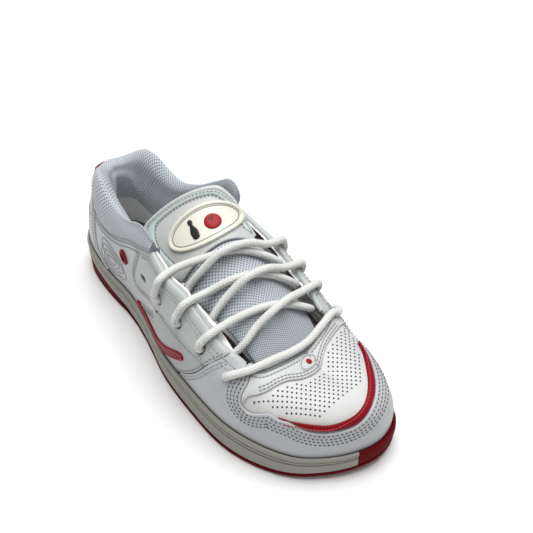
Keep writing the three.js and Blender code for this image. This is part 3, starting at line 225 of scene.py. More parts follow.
def last_point(s, t):
    """Point of the upper's surface: s round the sole, t from the sole edge to the crown line."""
    s, t = np.broadcast_arrays(np.asarray(s, float), np.asarray(t, float))
    b = outline(s, FEATHER_INSET)
    o = outline(1 - s, FEATHER_INSET)
    xa = 0.5 * (b[..., 0] + o[..., 0])
    rx = through(xa, RIDGE_X)
    r = np.stack([rx, through(rx, RIDGE_Y), through(rx, RIDGE_Z)], -1)
    bz = side_top(b[..., 0]) - 2
    full = np.where(s % 1.0 > 0.5, through(xa, MEDIAL_FULL), 0)
    zero, one = np.zeros_like(xa), np.ones_like(xa)
    h = np.stack([zero] + [through(xa, k) - w * full for k, w in zip(WALL_H, (0.02, 0.07, 0.12))] + [one],
                 0)
    w = np.stack([zero] + [through(xa, k) for k in WALL_W] + [one], 0)
    u = np.clip(t, 0, 1) * 4
    i = np.minimum(np.floor(u).astype(int), 3)
    f = u - i

    def mix(table, end):
        def pick(k):
            j = i + k
            got = np.take_along_axis(table, np.clip(j, 0, 4)[None], 0)[0]
            return np.where(j < 0, 2 * table[0] - table[1], np.where(j > 4, end, got))
        a, p, c, d = (pick(k) for k in (-1, 0, 1, 2))
        return catmull(a, p, c, d, f)

    hh = mix(h, 2 * h[4] - h[3])[..., None]
    ww = mix(w, w[3])
    xy = b + (r[..., :2] - b) * hh
    return np.concatenate([xy, (bz + (r[..., 2] - bz) * ww)[..., None]], -1)


def last_normal(s, t):
    e = 0.002
    ds = last_point(s + e, t) - last_point(s - e, t)
    dt = last_point(s, np.minimum(t + e, 1)) - last_point(s, np.maximum(t - e, 0))
    n = np.cross(ds, dt)
    return n / np.linalg.norm(n, axis=-1, keepdims=True)


def off_last(s, t, n):
    """Point n outside the upper's surface."""
    s, t = np.asarray(s, float), np.asarray(t, float)
    return last_point(s, t) + last_normal(s, t) * np.asarray(n, float)[..., None]


def slopes(s, t):
    """Point of the upper's surface, with its change along s and along t."""
    p = last_point(s, t)
    return p, (last_point(s + 1e-4, t) - p) * 1e4, (last_point(s, t + 1e-4) - p) * 1e4


def solve(s, t, goal, axes, s_step, t_step):
    """Newton search for the (s, t) whose point has the goal values on two axes."""
    for _ in range(15):
        p, a, b = slopes(s, t)
        i, j = axes
        det = a[..., i] * b[..., j] - b[..., i] * a[..., j]
        det = np.where(np.abs(det) < 1e-6, 1e-6, det)
        ex, ey = goal[..., 0] - p[..., i], goal[..., 1] - p[..., j]
        s = s + np.clip((ex * b[..., j] - b[..., i] * ey) / det, -s_step, s_step)
        t = np.clip(t + np.clip((a[..., i] * ey - ex * a[..., j]) / det, -t_step, t_step), 0, 0.9985)
    return s, t


def find_xz(side, xz):
    xz = np.asarray(xz, float)
    s = np.full(xz.shape[:-1], 0.25 if side < 0 else 0.75)
    return solve(s, np.full_like(s, 0.4), xz, (0, 2), 0.05, 0.15)


def find_xy(xy):
    xy = np.asarray(xy, float)
    s = np.where(xy[..., 1] < 2, 0.38, 0.62)
    return solve(s, np.full_like(s, 0.8), xy, (0, 1), 0.03, 0.1)


def nearest(s, t, goal):
    """Surface parameters of the point nearest to each goal, searched from a close start."""
    for _ in range(12):
        p, a, b = slopes(s, t)
        e = goal - p
        aa, ab, bb = (a * a).sum(-1), (a * b).sum(-1), (b * b).sum(-1)
        ea, eb = (e * a).sum(-1), (e * b).sum(-1)
        det = np.maximum(aa * bb - ab * ab, 1e-6)
        s = s + np.clip((ea * bb - eb * ab) / det, -0.02, 0.02)
        t = np.clip(t + np.clip((eb * aa - ea * ab) / det, -0.05, 0.05), 0.002, 0.9985)
    return s, t


def beside(s, t, d):
    """Surface line d to the right of the one through (s, t), measured along the surface."""
    p = last_point(s, t)
    aside = unit(np.cross(unit(np.gradient(p, axis=0)), last_normal(s, t)))
    return nearest(s, t, p + aside * d)


def t_at_z(s, z):
    """t where the surface at s reaches height z."""
    s, z = np.broadcast_arrays(np.asarray(s, float), np.asarray(z, float))
    return bisect(lambda t: last_point(s, t)[..., 2] < z, np.full(s.shape, 0.0), np.full(s.shape, 0.95), 36)


def unit(v):
    return v / np.maximum(np.linalg.norm(v, axis=-1, keepdims=True), 1e-12)


def spline(points, step, closed=False):
    """Dense Catmull-Rom line through points, about step apart."""
    p = np.array(points, float)
    n = len(p)
    out = []
    for i in range(n if closed else n - 1):
        if closed:
            a, b, c, d = (p[(i + k) % n] for k in (-1, 0, 1, 2))
        else:
            b, c = p[i], p[i + 1]
            a = p[i - 1] if i > 0 else 2 * b - c
            d = p[i + 2] if i + 2 < n else 2 * c - b
        m = max(1, int(round(np.linalg.norm(c - b) / step)))
        f = (np.arange(m) / m)[:, None]
        out.append(catmull(a, b, c, d, f))
    if not closed:
        out.append(p[-1:])
    return np.concatenate(out)


def resample(points, step, closed=False):
    """The same line with its points about step apart."""
    p = np.asarray(points, float)
    if closed:
        p = np.vstack([p, p[:1]])
    p = p[np.append(True, np.linalg.norm(np.diff(p, axis=0), axis=1) > 1e-6)]
    run = run_of(p)
    n = max(2, int(round(run[-1] / step)))
    at = np.linspace(0, run[-1], n + 1)
    out = at_run(at, run, p)
    return out[:-1] if closed else out


# ---------------------------------------------------------------- materials
def principled(name, colour, rough, sheen=0.0, coat=0.0, shine=0.5):
    m = bpy.data.materials.new(name)
    m.use_nodes = True
    b = m.node_tree.nodes["Principled BSDF"]
    b.inputs["Base Color"].default_value = (*colour, 1)
    b.inputs["Roughness"].default_value = rough
    b.inputs["Sheen Weight"].default_value = sheen
    b.inputs["Coat Weight"].default_value = coat
    b.inputs["Specular IOR Level"].default_value = shine
    return m, m.node_tree, b


def add_bump(tree, b, height, strength, distance):
    bump = tree.nodes.new("ShaderNodeBump")
    bump.inputs["Strength"].default_value = strength
    bump.inputs["Distance"].default_value = distance
    tree.links.new(height, bump.inputs["Height"])
    tree.links.new(bump.outputs["Normal"], b.inputs["Normal"])


def object_coords(tree):
    return tree.nodes.new("ShaderNodeTexCoord").outputs["Object"]


def noise(tree, scale, detail=4.0):
    n = tree.nodes.new("ShaderNodeTexNoise")
    n.inputs["Scale"].default_value = scale
    n.inputs["Detail"].default_value = detail
    tree.links.new(object_coords(tree), n.inputs["Vector"])
    return n.outputs["Fac"]


def cells(tree, vector, scale, randomness, dimensions="3D"):
    """Distance to the nearest point of a cell pattern."""
    v = tree.nodes.new("ShaderNodeTexVoronoi")
    v.voronoi_dimensions = dimensions
    v.inputs["Scale"].default_value = scale
    v.inputs["Randomness"].default_value = randomness
    tree.links.new(vector, v.inputs["Vector"])
    return v.outputs["Distance"]


def ramp(tree, fac, stops):
    r = tree.nodes.new("ShaderNodeValToRGB")
    while len(r.color_ramp.elements) < len(stops):
        r.color_ramp.elements.new(0.5)
    for e, (at, colour) in zip(r.color_ramp.elements, stops):
        e.position = at
        e.color = (*colour, 1)
    tree.links.new(fac, r.inputs["Fac"])
    return r.outputs["Color"]


def leather(name, colour, rough=0.42, grain=0.00012, tint=0.05, shine=0.45):
    """Coated leather: a fine pebble and a faint uneven tone."""
    m, tree, b = principled(name, colour, rough, shine=shine)
    add_bump(tree, b, noise(tree, 900, 6), 0.35, grain)
    dark, light = np.array(colour) * (1 - tint), np.minimum(np.array(colour) * (1 + tint), 1)
    shade = ramp(tree, noise(tree, 35, 3), [(0.3, tuple(dark)), (0.7, tuple(light))])
    tree.links.new(shade, b.inputs["Base Color"])
    return m


def knit(name, base, pit, pitch=0.00165):
    """Spacer mesh: a slanted lattice of small sunk pits, laid out by the piece's own flat coordinates; the
    pits are also coloured darker, painted shade.
    """
    m, tree, b = principled(name, base, 0.8, sheen=0.15)
    flat = tree.nodes.new("ShaderNodeUVMap")
    flat.uv_map = "flat"
    turn = tree.nodes.new("ShaderNodeMapping")
    turn.inputs["Rotation"].default_value[2] = math.radians(45)
    tree.links.new(flat.outputs["UV"], turn.inputs["Vector"])
    distance = cells(tree, turn.outputs["Vector"], 1 / pitch, 0.0, "2D")
    # the pit colour darkens the sunk pits: painted shade in them
    tree.links.new(ramp(tree, distance, [(0.16, pit), (0.42, base)]), b.inputs["Base Color"])
    add_bump(tree, b, distance, 0.7, 0.0006)
    return m


def rubber(name, colour, rough=0.5, shine=0.4):
    m, tree, b = principled(name, colour, rough, shine=shine)
    add_bump(tree, b, noise(tree, 400, 3), 0.15, 0.0001)
    return m


def elastic(name):
    """Black ribbed elastic with small red figures."""
    black, red = (0.012, 0.01, 0.01), (0.30, 0.012, 0.015)
    m, tree, b = principled(name, black, 0.75, sheen=0.1)
    distance = cells(tree, object_coords(tree), 260, 0.5)
    tree.links.new(ramp(tree, distance, [(0.28, red), (0.36, black)]), b.inputs["Base Color"])
    add_bump(tree, b, noise(tree, 1200, 2), 0.5, 0.0003)
    return m


def cloth(name, colour, scale=1400, rough=0.85):
    m, tree, b = principled(name, colour, rough, sheen=0.2)
    add_bump(tree, b, noise(tree, scale, 2), 0.5, 0.0003)
    return m


def matt(name, colour):
    return principled(name, colour, 0.9)[0]


# material: its kind, its colour and the rest of what that kind takes
LOOKS = {
    "leather_white": (leather, (0.52, 0.53, 0.525)),
    "leather_grey": (leather, (0.42, 0.43, 0.445), 0.36),
    "leather_pale": (leather, (0.42, 0.45, 0.435)),
    # white leather made darker: painted shade for the side panels and the quarters
    "leather_side": (leather, (0.34, 0.352, 0.356)),
    "leather_mint": (leather, (0.53, 0.605, 0.58)),
    "perforated": (leather, (0.55, 0.55, 0.545)),
    "edge_grey": (leather, (0.24, 0.25, 0.26)),
    # the mesh's near-black pit colour is painted shade in its pits
    "mesh": (knit, (0.50, 0.54, 0.57), (0.13, 0.15, 0.18)),
    "lining": (cloth, (0.86, 0.86, 0.86)),
    # pale beige sidewall rubber made darker: painted shade on the sole's side
    "rubber_side": (rubber, (0.28, 0.272, 0.237), 0.6, 0.3),
    "rubber_red": (rubber, (0.11, 0.0022, 0.0045), 0.75, 0.06),
    "trim_red": (leather, (0.20, 0.003, 0.008), 0.5, 0.00012, 0.12, 0.12),
    "elastic": (elastic,),
    "badge": (rubber, (0.72, 0.71, 0.61), 0.4),
    "mark_black": (rubber, (0.012, 0.011, 0.011), 0.4),
    "mark_red": (rubber, (0.30, 0.005, 0.010), 0.4, 0.2),
    # the lace's darker pit colour is painted shade in its braid
    "lace_white": (knit, (0.70, 0.705, 0.68), (0.50, 0.505, 0.485), 0.0015),
    "board": (cloth, (0.52, 0.45, 0.31)),
    "sock": (cloth, (0.85, 0.85, 0.84), 900),
    # near-black matt: painted shade, set in the perforations, the slot and the ankle rings' openings; the
    # badge's ball holes use it as well
    "hole": (matt, (0.03, 0.03, 0.035)),
    "thread_white": (cloth, (0.36, 0.37, 0.37), 2500, 0.7),
    "thread_grey": (cloth, (0.22, 0.23, 0.24), 2500, 0.7),
    "thread_dark": (cloth, (0.06, 0.06, 0.065), 2500, 0.7),
    "thread_red": (cloth, (0.40, 0.015, 0.02), 2500, 0.6),
}
M = {name: kind(name, *values) for name, (kind, *values) in LOOKS.items()}


# ---------------------------------------------------------------- mesh helpers
def piece(name, verts, faces, material, body="shoe", replaces=(), angle=38, flat=None):
    mesh = bpy.data.meshes.new(name)
    mesh.from_pydata((np.asarray(verts, float) * MM).tolist(), [], [list(map(int, f)) for f in faces])
    mesh.validate()
    if flat is not None:
        corners = np.empty(len(mesh.loops), int)
        mesh.loops.foreach_get("vertex_index", corners)
        mesh.uv_layers.new(name="flat").data.foreach_set("uv", (np.asarray(flat) * MM)[corners].ravel())
    mesh.polygons.foreach_set("use_smooth", np.ones(len(mesh.polygons), bool))
    mesh.set_sharp_from_angle(angle=math.radians(angle))
    mesh.materials.append(M[material])
    o = bpy.data.objects.new(name, mesh)
    bpy.context.scene.collection.objects.link(o)
    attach(o, body)
    if replaces:
        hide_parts(*replaces)
    return o


def inside(points, loop):
    """True for each point inside the closed loop."""
    x, y = points[:, 0][:, None], points[:, 1][:, None]
    a, b = loop, np.roll(loop, -1, axis=0)
    cross = (a[:, 1] > y) != (b[:, 1] > y)
    rise = np.where(b[:, 1] == a[:, 1], 1e-12, b[:, 1] - a[:, 1])
    at = (b[:, 0] - a[:, 0]) * (y - a[:, 1]) / rise + a[:, 0]
    return (np.sum(cross & (x < at), axis=1) % 2) == 1


def within(points, loops):
    """True for each point inside the outline and outside its holes."""
    ok = inside(points, loops[0])
    for hole in loops[1:]:
        ok &= ~inside(points, hole)
    return ok


def edge_distance(points, loops):
    """Distance from each point to the nearest loop."""
    best = np.full(len(points), 1e9)
    for loop in loops:
        a, b = loop, np.roll(loop, -1, axis=0)
        d = b - a
        ll = np.maximum((d ** 2).sum(1), 1e-12)
        for k in range(0, len(points), 2000):
            p = points[k:k + 2000, None]
            t = np.clip(((p - a) * d).sum(2) / ll, 0, 1)
            near = np.linalg.norm(p - (a + t[..., None] * d), axis=2).min(1)
            best[k:k + 2000] = np.minimum(best[k:k + 2000], near)
    return best


def triangulate(loops, cell, rings):
    """Dense triangles of a flat outline with holes, from its boundary, rings inside it and a field."""
    outer = loops[0]
    field = []
    lo, hi = outer.min(0), outer.max(0)
    rows = np.arange(lo[1], hi[1], cell * 0.87)
    for k, y in enumerate(rows):
        xs = np.arange(lo[0] + (cell / 2 if k % 2 else 0), hi[0], cell)
        field.append(np.stack([xs, np.full_like(xs, y)], -1))
    field = np.concatenate(field)
    field = field[within(field, loops)]
    field = field[edge_distance(field, loops) > rings[-1] + cell * 0.45]
    pts = [field]
    for loop in loops:
        d = np.roll(loop, -1, axis=0) - np.roll(loop, 1, axis=0)
        n = unit(np.stack([-d[:, 1], d[:, 0]], -1))
        for r in rings:
            for sign in (1, -1):
                q = loop + n * r * sign
                q = q[within(q, loops)]
                if len(q):
                    q = q[edge_distance(q, loops) > r * 0.93]
                    pts.append(q)
    edges, base = [], 0
    for loop in loops:
        m = len(loop)
        edges += [(base + k, base + (k + 1) % m) for k in range(m)]
        base += m
    allp = np.concatenate(list(loops) + pts)
    out = delaunay_2d_cdt([Vector(p) for p in allp], edges, [], 0, 1e-5)
    v = np.array([tuple(p) for p in out[0]])
    f = np.array([t for t in out[2] if len(t) == 3])
    f = f[within(v[f].mean(1), loops)]
    area = np.cross(v[f[:, 1]] - v[f[:, 0]], v[f[:, 2]] - v[f[:, 0]])
    f = np.where((area < 0)[:, None], f[:, ::-1], f)
    return v, f[np.abs(area) > 1e-7]


def panel(name, loops, to_surface, layer, material, replaces=(), cell=2.6, radius=0.9, body="shoe",
          offset=off_last,
          puff=0.0, puff_reach=6.0, step=1.3):
    """A leather panel: a flat outline carried on to the surface, with a rolled edge."""
    low, top = layer
    loops = [resample(l, step, True) for l in loops]
    v, f = triangulate(loops, cell, [radius * 0.3, radius, radius * 2.2])
    d = edge_distance(v, loops)
    g = 1 - np.clip(d / radius, 0, 1)
    drop = (1 - np.sqrt(np.maximum(1 - g ** 2, 0))) * min(top - low, radius) * 0.75
    rise = puff * (1 - np.exp(-d / puff_reach))
    s, t = to_surface(v)
    upper = offset(s, t, top - drop + rise)
    lower = offset(s, t, np.full(len(v), low))
    n = len(v)
    edges = {}
    for tri in f:
        for a, b in ((tri[0], tri[1]), (tri[1], tri[2]), (tri[2], tri[0])):
            edges[(a, b)] = edges.get((a, b), 0) + 1
    rim = [e for e in edges if (e[1], e[0]) not in edges]
    tri_n = np.cross(upper[f[:, 1]] - upper[f[:, 0]], upper[f[:, 2]] - upper[f[:, 0]])
    out_dir = (upper - lower)[f].mean(1)
    flip = (tri_n * out_dir).sum() < 0
    faces = []
    for tri in f:
        a, b, c = tri if not flip else tri[::-1]
        faces.append((a, b, c))
        faces.append((n + c, n + b, n + a))
    for a, b in rim:
        if flip:
            a, b = b, a
        faces.append((b, a, n + a, n + b))
    return piece(name, np.concatenate([upper, lower]), faces, material, body, replaces,
                 flat=np.concatenate([v, v]) if material == "mesh" else None)


def sweep(name, sections, material, closed=True, body="shoe", replaces=(), angle=38):
    """Closed body through sections (stations x points x 3); the row of stations joins up when closed."""
    sec = np.asarray(sections, float)
    n, m = sec.shape[:2]
    faces = []
    for i in range(n if closed else n - 1):
        k = (i + 1) % n
        for j in range(m):
            l = (j + 1) % m
            faces.append((i * m + j, i * m + l, k * m + l, k * m + j))
    if not closed:
        faces.append(tuple(range(m))[::-1])
        faces.append(tuple((n - 1) * m + j for j in range(m)))
    flat = None
    if material in ("mesh", "lace_white"):
        along = np.linalg.norm(np.diff(sec, axis=0), axis=2).mean(1)
        round_ = np.linalg.norm(np.diff(sec, axis=1), axis=2).mean(0)
        a, b = np.meshgrid(np.append(0, np.cumsum(along)), np.append(0, np.cumsum(round_)), indexing="ij")
        flat = np.stack([a, b], -1).reshape(-1, 2)
    return piece(name, sec.reshape(-1, 3), faces, material, body, replaces, angle, flat)


def tube_sections(path, radius, sides=10, normals=None, flat=1.0):
    """Rings round a path; flat squeezes them along the surface normal."""
    p = np.asarray(path, float)
    tan = unit(np.gradient(p, axis=0))
    if normals is None:
        ref = np.zeros_like(p)
        n0 = np.cross(tan[0], [0.0, 0.0, 1.0])
        if np.linalg.norm(n0) < 1e-3:
            n0 = np.cross(tan[0], [0.0, 1.0, 0.0])
        ref[0] = unit(n0)
        for k in range(1, len(p)):
            ref[k] = unit(ref[k - 1] - tan[k] * np.dot(ref[k - 1], tan[k]))
        normals = ref
    nn = unit(normals - tan * (normals * tan).sum(1, keepdims=True))
    bb = np.cross(tan, nn)
    w = angles(sides)
    r = np.broadcast_to(np.asarray(radius, float), (len(p),))[:, None, None]
    return p[:, None] + r * (np.cos(w)[None, :, None] * nn[:, None] * flat
                             + np.sin(w)[None, :, None] * bb[:, None])


def bead(name, path, normals, radius, material, body="shoe", replaces=(), flat=0.8, sides=8):
    """Thin round cord along a path."""
    return sweep(name, tube_sections(path, radius, sides, normals, flat), material, False, body, replaces,
                 60)


def capsule():
    """Unit grain along x, used for every stitch."""
    rings, sides = 5, 6
    v, f = [(-1, 0, 0)], []
    for i in range(1, rings):
        x = -math.cos(math.pi * i / rings)
        r = math.sin(math.pi * i / rings) ** 0.6
        v += [(x, r * math.cos(w), r * math.sin(w)) for w in angles(sides)]
    v.append((1, 0, 0))
    for j in range(sides):
        k = (j + 1) % sides
        f.append((0, 1 + k, 1 + j))
        for i in range(rings - 2):
            a = 1 + i * sides
            f.append((a + j, a + k, a + sides + k, a + sides + j))
        e = 1 + (rings - 2) * sides
        f.append((e + j, e + k, len(v) - 1))
    return np.array(v, float), f


GRAIN_V, GRAIN_F = capsule()


class Thread:
    """Collects stitches of one colour on one body and makes a single piece of them."""

    def __init__(self):
        self.verts, self.faces, self.count = [], [], 0

    def grain(self, at, along, normal, half, wide, high):
        side = np.cross(normal, along)
        v = (at + GRAIN_V[:, :1] * along * half + GRAIN_V[:, 1:2] * side * wide
             + GRAIN_V[:, 2:] * normal * high)
        self.verts.append(v)
        self.faces += [tuple(i + self.count for i in f) for f in GRAIN_F]
        self.count += len(GRAIN_V)

    def row(self, path, normals, pitch=2.7, half=1.05, wide=0.36, high=0.28):
        run = run_of(path)
        m = max(1, int(run[-1] / pitch))
        at = (np.arange(m) + 0.5) * run[-1] / m
        p = at_run(at, run, path)
        n = unit(at_run(at, run, normals))
        along = unit(at_run(at + 0.4, run, path) - at_run(at - 0.4, run, path))
        n = unit(n - along * (n * along).sum(1, keepdims=True))
        for k in range(m):
            self.grain(p[k] + n[k] * 0.12, along[k], n[k], half, wide, high)

    def make(self, name, material, body="shoe"):
        if self.count:
            return piece(name, np.concatenate(self.verts), self.faces, material, body, angle=180)


def shift_line(points, d):
    """Flat line moved sideways by d, to the right of its direction when d is positive."""
    p = np.asarray(points, float)
    g = unit(np.gradient(p, axis=0))
    return p + np.stack([g[:, 1], -g[:, 0]], -1) * d


# ---------------------------------------------------------------- outlines
ST = np.array([720.0, 90.0])   # one unit of s and of t in flat millimetres


def st_flat(s, t):
    return np.stack([np.asarray(s) * ST[0], np.asarray(t) * ST[1]], -1)


def from_st(flat):
    return flat[:, 0] / ST[0], flat[:, 1] / ST[1]


def on_side(side):
    return lambda flat: find_xz(side, flat)


def edge_z(x):
    """Height of the upper's open edge in side view: collar seam, then throat."""
    x = np.asarray(x, float)
    return np.where(x < -13, through(x, COLLAR_SEAM), through(x, THROAT_EDGE))


def clipped(points, lift=0.1, step=1.0):
    """Side-view outline kept between the sole edge and the collar and throat edge."""
    p = resample(points, step, True)
    top = edge_z(p[:, 0]) - lift
    low = side_top(p[:, 0]) - 1.9
    p[:, 1] = np.clip(p[:, 1], low, top)
    return p


def ellipse(a, b, count, cx=0.0, cy=0.0):
    w = angles(count)
    return np.stack([cx + a * np.cos(w), cy + b * np.sin(w)], -1)


def slot_loop(half=3.6, r=2.2):
    """Slot with round ends, a little tilted."""
    w = np.linspace(-np.pi / 2, np.pi / 2, 9)
    end = np.stack([half + r * np.cos(w), r * np.sin(w)], -1)
    c, s = math.cos(0.35), math.sin(0.35)
    return np.vstack([end, -end]) @ np.array([[c, s], [-s, c]]) + np.array(SLOT)


def seam(flat, to_surface, n):
    """Points of a flat line n outside the surface, with their normals."""
    s, t = to_surface(np.asarray(flat, float))
    return off_last(s, t, np.full(len(s), n)), last_normal(s, t)


# ---------------------------------------------------------------- upper panels
def side_panels():
    """Overlays, stripes, slots and piping of both sides."""
    for side, word in SIDES:
        pipe = spline(PIPING, 1.5)
        rear = spline(EYESTAY_REAR, 1.5)
        lower = spline(EYESTAY_LOWER, 1.5)
        loop_end = spline(SIDE_REAR, 1.5)
        cap = spline(CAP_REAR[3:], 1.5)
        top_cap = np.array(CAP_REAR[:4][::-1], float)
        surface = on_side(side)
        ankle = np.vstack([pipe[::-1] + [0.2, 0], loop_end - [0.25, 0], [[0, 57.5], [0, 63.6]],
                           rear[::-1] - [0.2, 0]])
        panel(f"ankle_{word}", [clipped(ankle)], surface, OVERLAY, "leather_grey", (f"ankle_panel_{word}",),
              puff=0.25)
        stay = np.vstack([rear, lower, top_cap, [[66, 110], [-30, 130]]])
        holes = [ellipse(EYELET_R, EYELET_R, 26, x, z) for x, z in ROWS[side]] + [slot_loop()]
        panel(f"stay_{word}", [clipped(stay)] + holes, surface, OVERLAY, "leather_pale",
              (f"eyestay_{word}",), cell=2.2)
        sheet = np.vstack([loop_end + [0.25, 0], [[0, 60.6]], lower - [0, 0.25], cap - [0.25, 0]])
        # the side panel is white leather, darkened as painted shade
        panel(f"side_{word}", [clipped(sheet)], surface, OVERLAY, "leather_side", (f"side_panel_{word}",),
              puff=0.2)
        panel(f"stripe_{word}", [spline(SIDE_STRIPE, 1.5, True)], surface, (1.3, TRIM[1]), "trim_red",
              (f"side_stripe_{word}",), cell=2, radius=0.7)
        # near-black sheet in the slot: painted shade in its opening
        panel(f"slot_well_{word}", [slot_loop()], surface, (-0.1, 0.7), "hole", cell=1.5, radius=0.2,
              step=0.8)
        line = spline(PIPING[1:-1], 1.5)
        line = line[line[:, 1] < edge_z(line[:, 0]) - 1]
        p, n = seam(line, surface, 1.5)
        bead(f"piping_{word}", p, n, 1.15, "leather_white", replaces=(f"heel_piping_{word}",))
        p, n = seam(shift_line(line, -1.7), surface, 1.45)
        bead(f"piping_line_{word}", p, n, 0.5, "trim_red")


def throat_edges():
    """Folded edge along the lace opening on each side, and the elastic facing inside it."""
    x = np.arange(-13.0, 76.0, 1.0)
    tape = np.vstack([np.stack([x, edge_z(x) - 1.2], -1),
                      np.stack([x, edge_z(x) - through(x, [[-13, 10], [30, 8.5], [74, 4]])], -1)[::-1]])
    for side, word in SIDES:
        panel(f"throat_tape_{word}", [tape], on_side(side), (-4.2, -3.6), "elastic", cell=2, radius=0.3)
        p, n = seam(np.stack([x, edge_z(x) - 0.4], -1), on_side(side), -0.7)
        bead(f"throat_edge_{word}", p, n, 1.9, "leather_pale", flat=1.0, sides=12)


def heel_panels():
    """Counter, and the band above it, round the back of the heel, laid out in (s, t)."""
    pipe = spline(PIPING, 1.5)
    pipe = pipe[pipe[:, 1] < 95]
    lat = find_xz(-1, pipe)
    med = find_xz(1, pipe)
    for name, node, z0, z1 in (("heel_low", "heel_counter", None, BAND_SPLIT_Z - 0.45),
                               ("heel_top", "heel_band", BAND_SPLIT_Z, None)):
        height = pipe[:, 1]
        inside_z = (height < (z1 or 200)) & (height > (z0 or 0)) & (height < edge_z(pipe[:, 0]) - 0.4)
        a = st_flat(lat[0][inside_z] - SPLIT_S, lat[1][inside_z])
        b = st_flat(med[0][inside_z] - 1 + SPLIT_S, med[1][inside_z])
        ss = np.linspace(a[-1, 0], b[-1, 0], 90)[1:-1] / ST[0]
        if z1:
            upper = st_flat(ss, t_at_z(ss, z1))
        else:
            t = t_at_z(ss, 89.5)
            for _ in range(3):
                t = t_at_z(ss, edge_z(last_point(ss, t)[..., 0]) - 0.4)
            upper = st_flat(ss, t)
        sl = np.linspace(b[0, 0], a[0, 0], 90)[1:-1] / ST[0]
        lower = st_flat(sl, t_at_z(sl, z0)) if z0 else st_flat(sl, np.full(len(sl), FOOT_T))
        panel(name, [np.vstack([a, upper, b[::-1], lower])], from_st, OVERLAY, "leather_grey", (node,),
              cell=3, puff=0.35)


def patch_flat(points):
    s, t = find_xy(points)
    return st_flat(s, t)


PATCH_LINE = spline(PATCH, 1.2)
THROAT_LINE = spline(THROAT_FRONT, 1.2)


def front_panels():
    """Toe cap, perforated vamp, yoke and red crescent."""
    rear = spline(CAP_REAR, 1.5)
    rear[:, 1] = np.minimum(rear[:, 1], edge_z(rear[:, 0]) - 0.2)
    rear = rear[rear[:, 1] > side_top(rear[:, 0]) - 1.9]
    edge_x = np.arange(67.0, 77.5, 1.5)
    edge = np.stack([edge_x, edge_z(edge_x) - 0.2], -1)
    up = np.vstack([rear[::-1] + [0.25, 0], edge])
    lat = st_flat(*find_xz(-1, up))
    med = st_flat(*find_xz(1, up))
    grown = shift_line(PATCH_LINE, 0.2)
    top = patch_flat(grown)
    sl = np.linspace(med[0, 0], lat[0, 0], 220)[1:-1] / ST[0]
    foot = st_flat(sl, np.full(len(sl), FOOT_T))
    loop = np.vstack([lat, top, med[::-1], foot])
    panel("cap", [loop], from_st, OVERLAY, "leather_grey", ("toe_cap",), cell=3, puff=0.3, puff_reach=5)
    # perforated vamp under the yoke and the crescent
    vamp = np.vstack([THROAT_LINE[::-1], shift_line(PATCH_LINE, 1.6)])
    panel("vamp_top", [vamp], find_xy, (-1.5, -0.1), "perforated", ("vamp",), cell=2.6)
    edge_line = spline(OVERLAY_EDGE[1:-1], 1.2)
    tips = PATCH_LINE[PATCH_LINE[:, 0] < 86.5]
    first, last = tips[tips[:, 1] < 0], tips[tips[:, 1] > 0]
    yoke = np.vstack([first, edge_line, last, THROAT_LINE[::-1]])
    panel("yoke", [yoke], find_xy, OVERLAY, "leather_white", ("vamp_yoke",), cell=2.2, radius=0.8,
          puff=0.35, puff_reach=3)
    outer = shift_line(PATCH_LINE, -0.25)
    outer = outer[(outer[:, 0] > 106) | ((outer[:, 0] > 99) & (outer[:, 1] > 0))]
    crescent = np.vstack([outer, spline(ARC_INNER, 1.2)[::-1]])
    panel("crescent", [crescent], find_xy, OVERLAY, "trim_red", ("toe_stripe",), cell=1.8, radius=0.6)
    p, n = seam(THROAT_LINE, find_xy, 1.0)
    bead("throat_roll", p, n, 1.35, "edge_grey", flat=0.9)


def perforations():
    """Rows of small punched holes between the yoke and the crescent, each a near-black disc: painted shade
    for the hole.
    """
    rim = np.array(PATCH, float)
    lateral = rim[(rim[:, 1] < -35.5) & (rim[:, 0] > 85)]
    medial = rim[(rim[:, 1] > 38) & (rim[:, 0] > 86)]
    ring = np.vstack([spline(OVERLAY_EDGE, 1.5), medial[::-1], spline(ARC_INNER, 1.5)[::-1], lateral[::-1]])
    half = PUNCH_PITCH / 2
    pts = np.array([[96 + i * half, -46 + j * PUNCH_PITCH + (half if i % 2 else 0)]
                    for i in range(-14, 15) for j in range(26)])
    pts = pts[inside(pts, ring)]
    pts = pts[edge_distance(pts, [ring]) > PUNCH_MARGIN]
    p, n = seam(pts, find_xy, 0.0)
    verts, faces = [], []
    w = angles(10)
    for k in range(len(p)):
        a = unit(np.cross(n[k], [0.0, 1.0, 0.0]))
        b = np.cross(n[k], a)
        base = len(verts)
        for r, h in ((0.66, -0.15), (0.6, 0.03), (0.25, 0.035)):
            verts += list(p[k] + r * (np.cos(w)[:, None] * a + np.sin(w)[:, None] * b) + n[k] * (h - 0.07))
        for r in (0, 10):
            for j in range(10):
                faces.append((base + r + j, base + r + (j + 1) % 10, base + r + 10 + (j + 1) % 10,
                              base + r + 10 + j))
        faces.append(tuple(base + 20 + j for j in range(10)))
    piece("perforations", verts, faces, "hole")


def emblem():
    """Plain raised oval on the yoke."""
    centre, tilt = np.array([95.0, -1.0]), 0.25
    c, s = math.cos(tilt), math.sin(tilt)
    turn = np.array([[c, s], [-s, c]])

    def oval(a, b):
        return ellipse(a, b, 40) @ turn + centre

    panel("emblem_plate", [oval(4.6, 8.0)], find_xy, (1.3, 2.3), "leather_white", cell=1.2, radius=0.5,
          step=0.8)
    path = np.vstack([oval(3.7, 7.0), oval(3.7, 7.0)[:1]])
    p, n = seam(path, find_xy, 2.3)
    bead("emblem_ring", p, n, 0.32, "edge_grey")
    panel("emblem_ball", [ellipse(1.9, 1.9, 24, *centre)], find_xy, (2.0, 2.9), "mark_red", cell=0.8,
          radius=0.6, step=0.6)


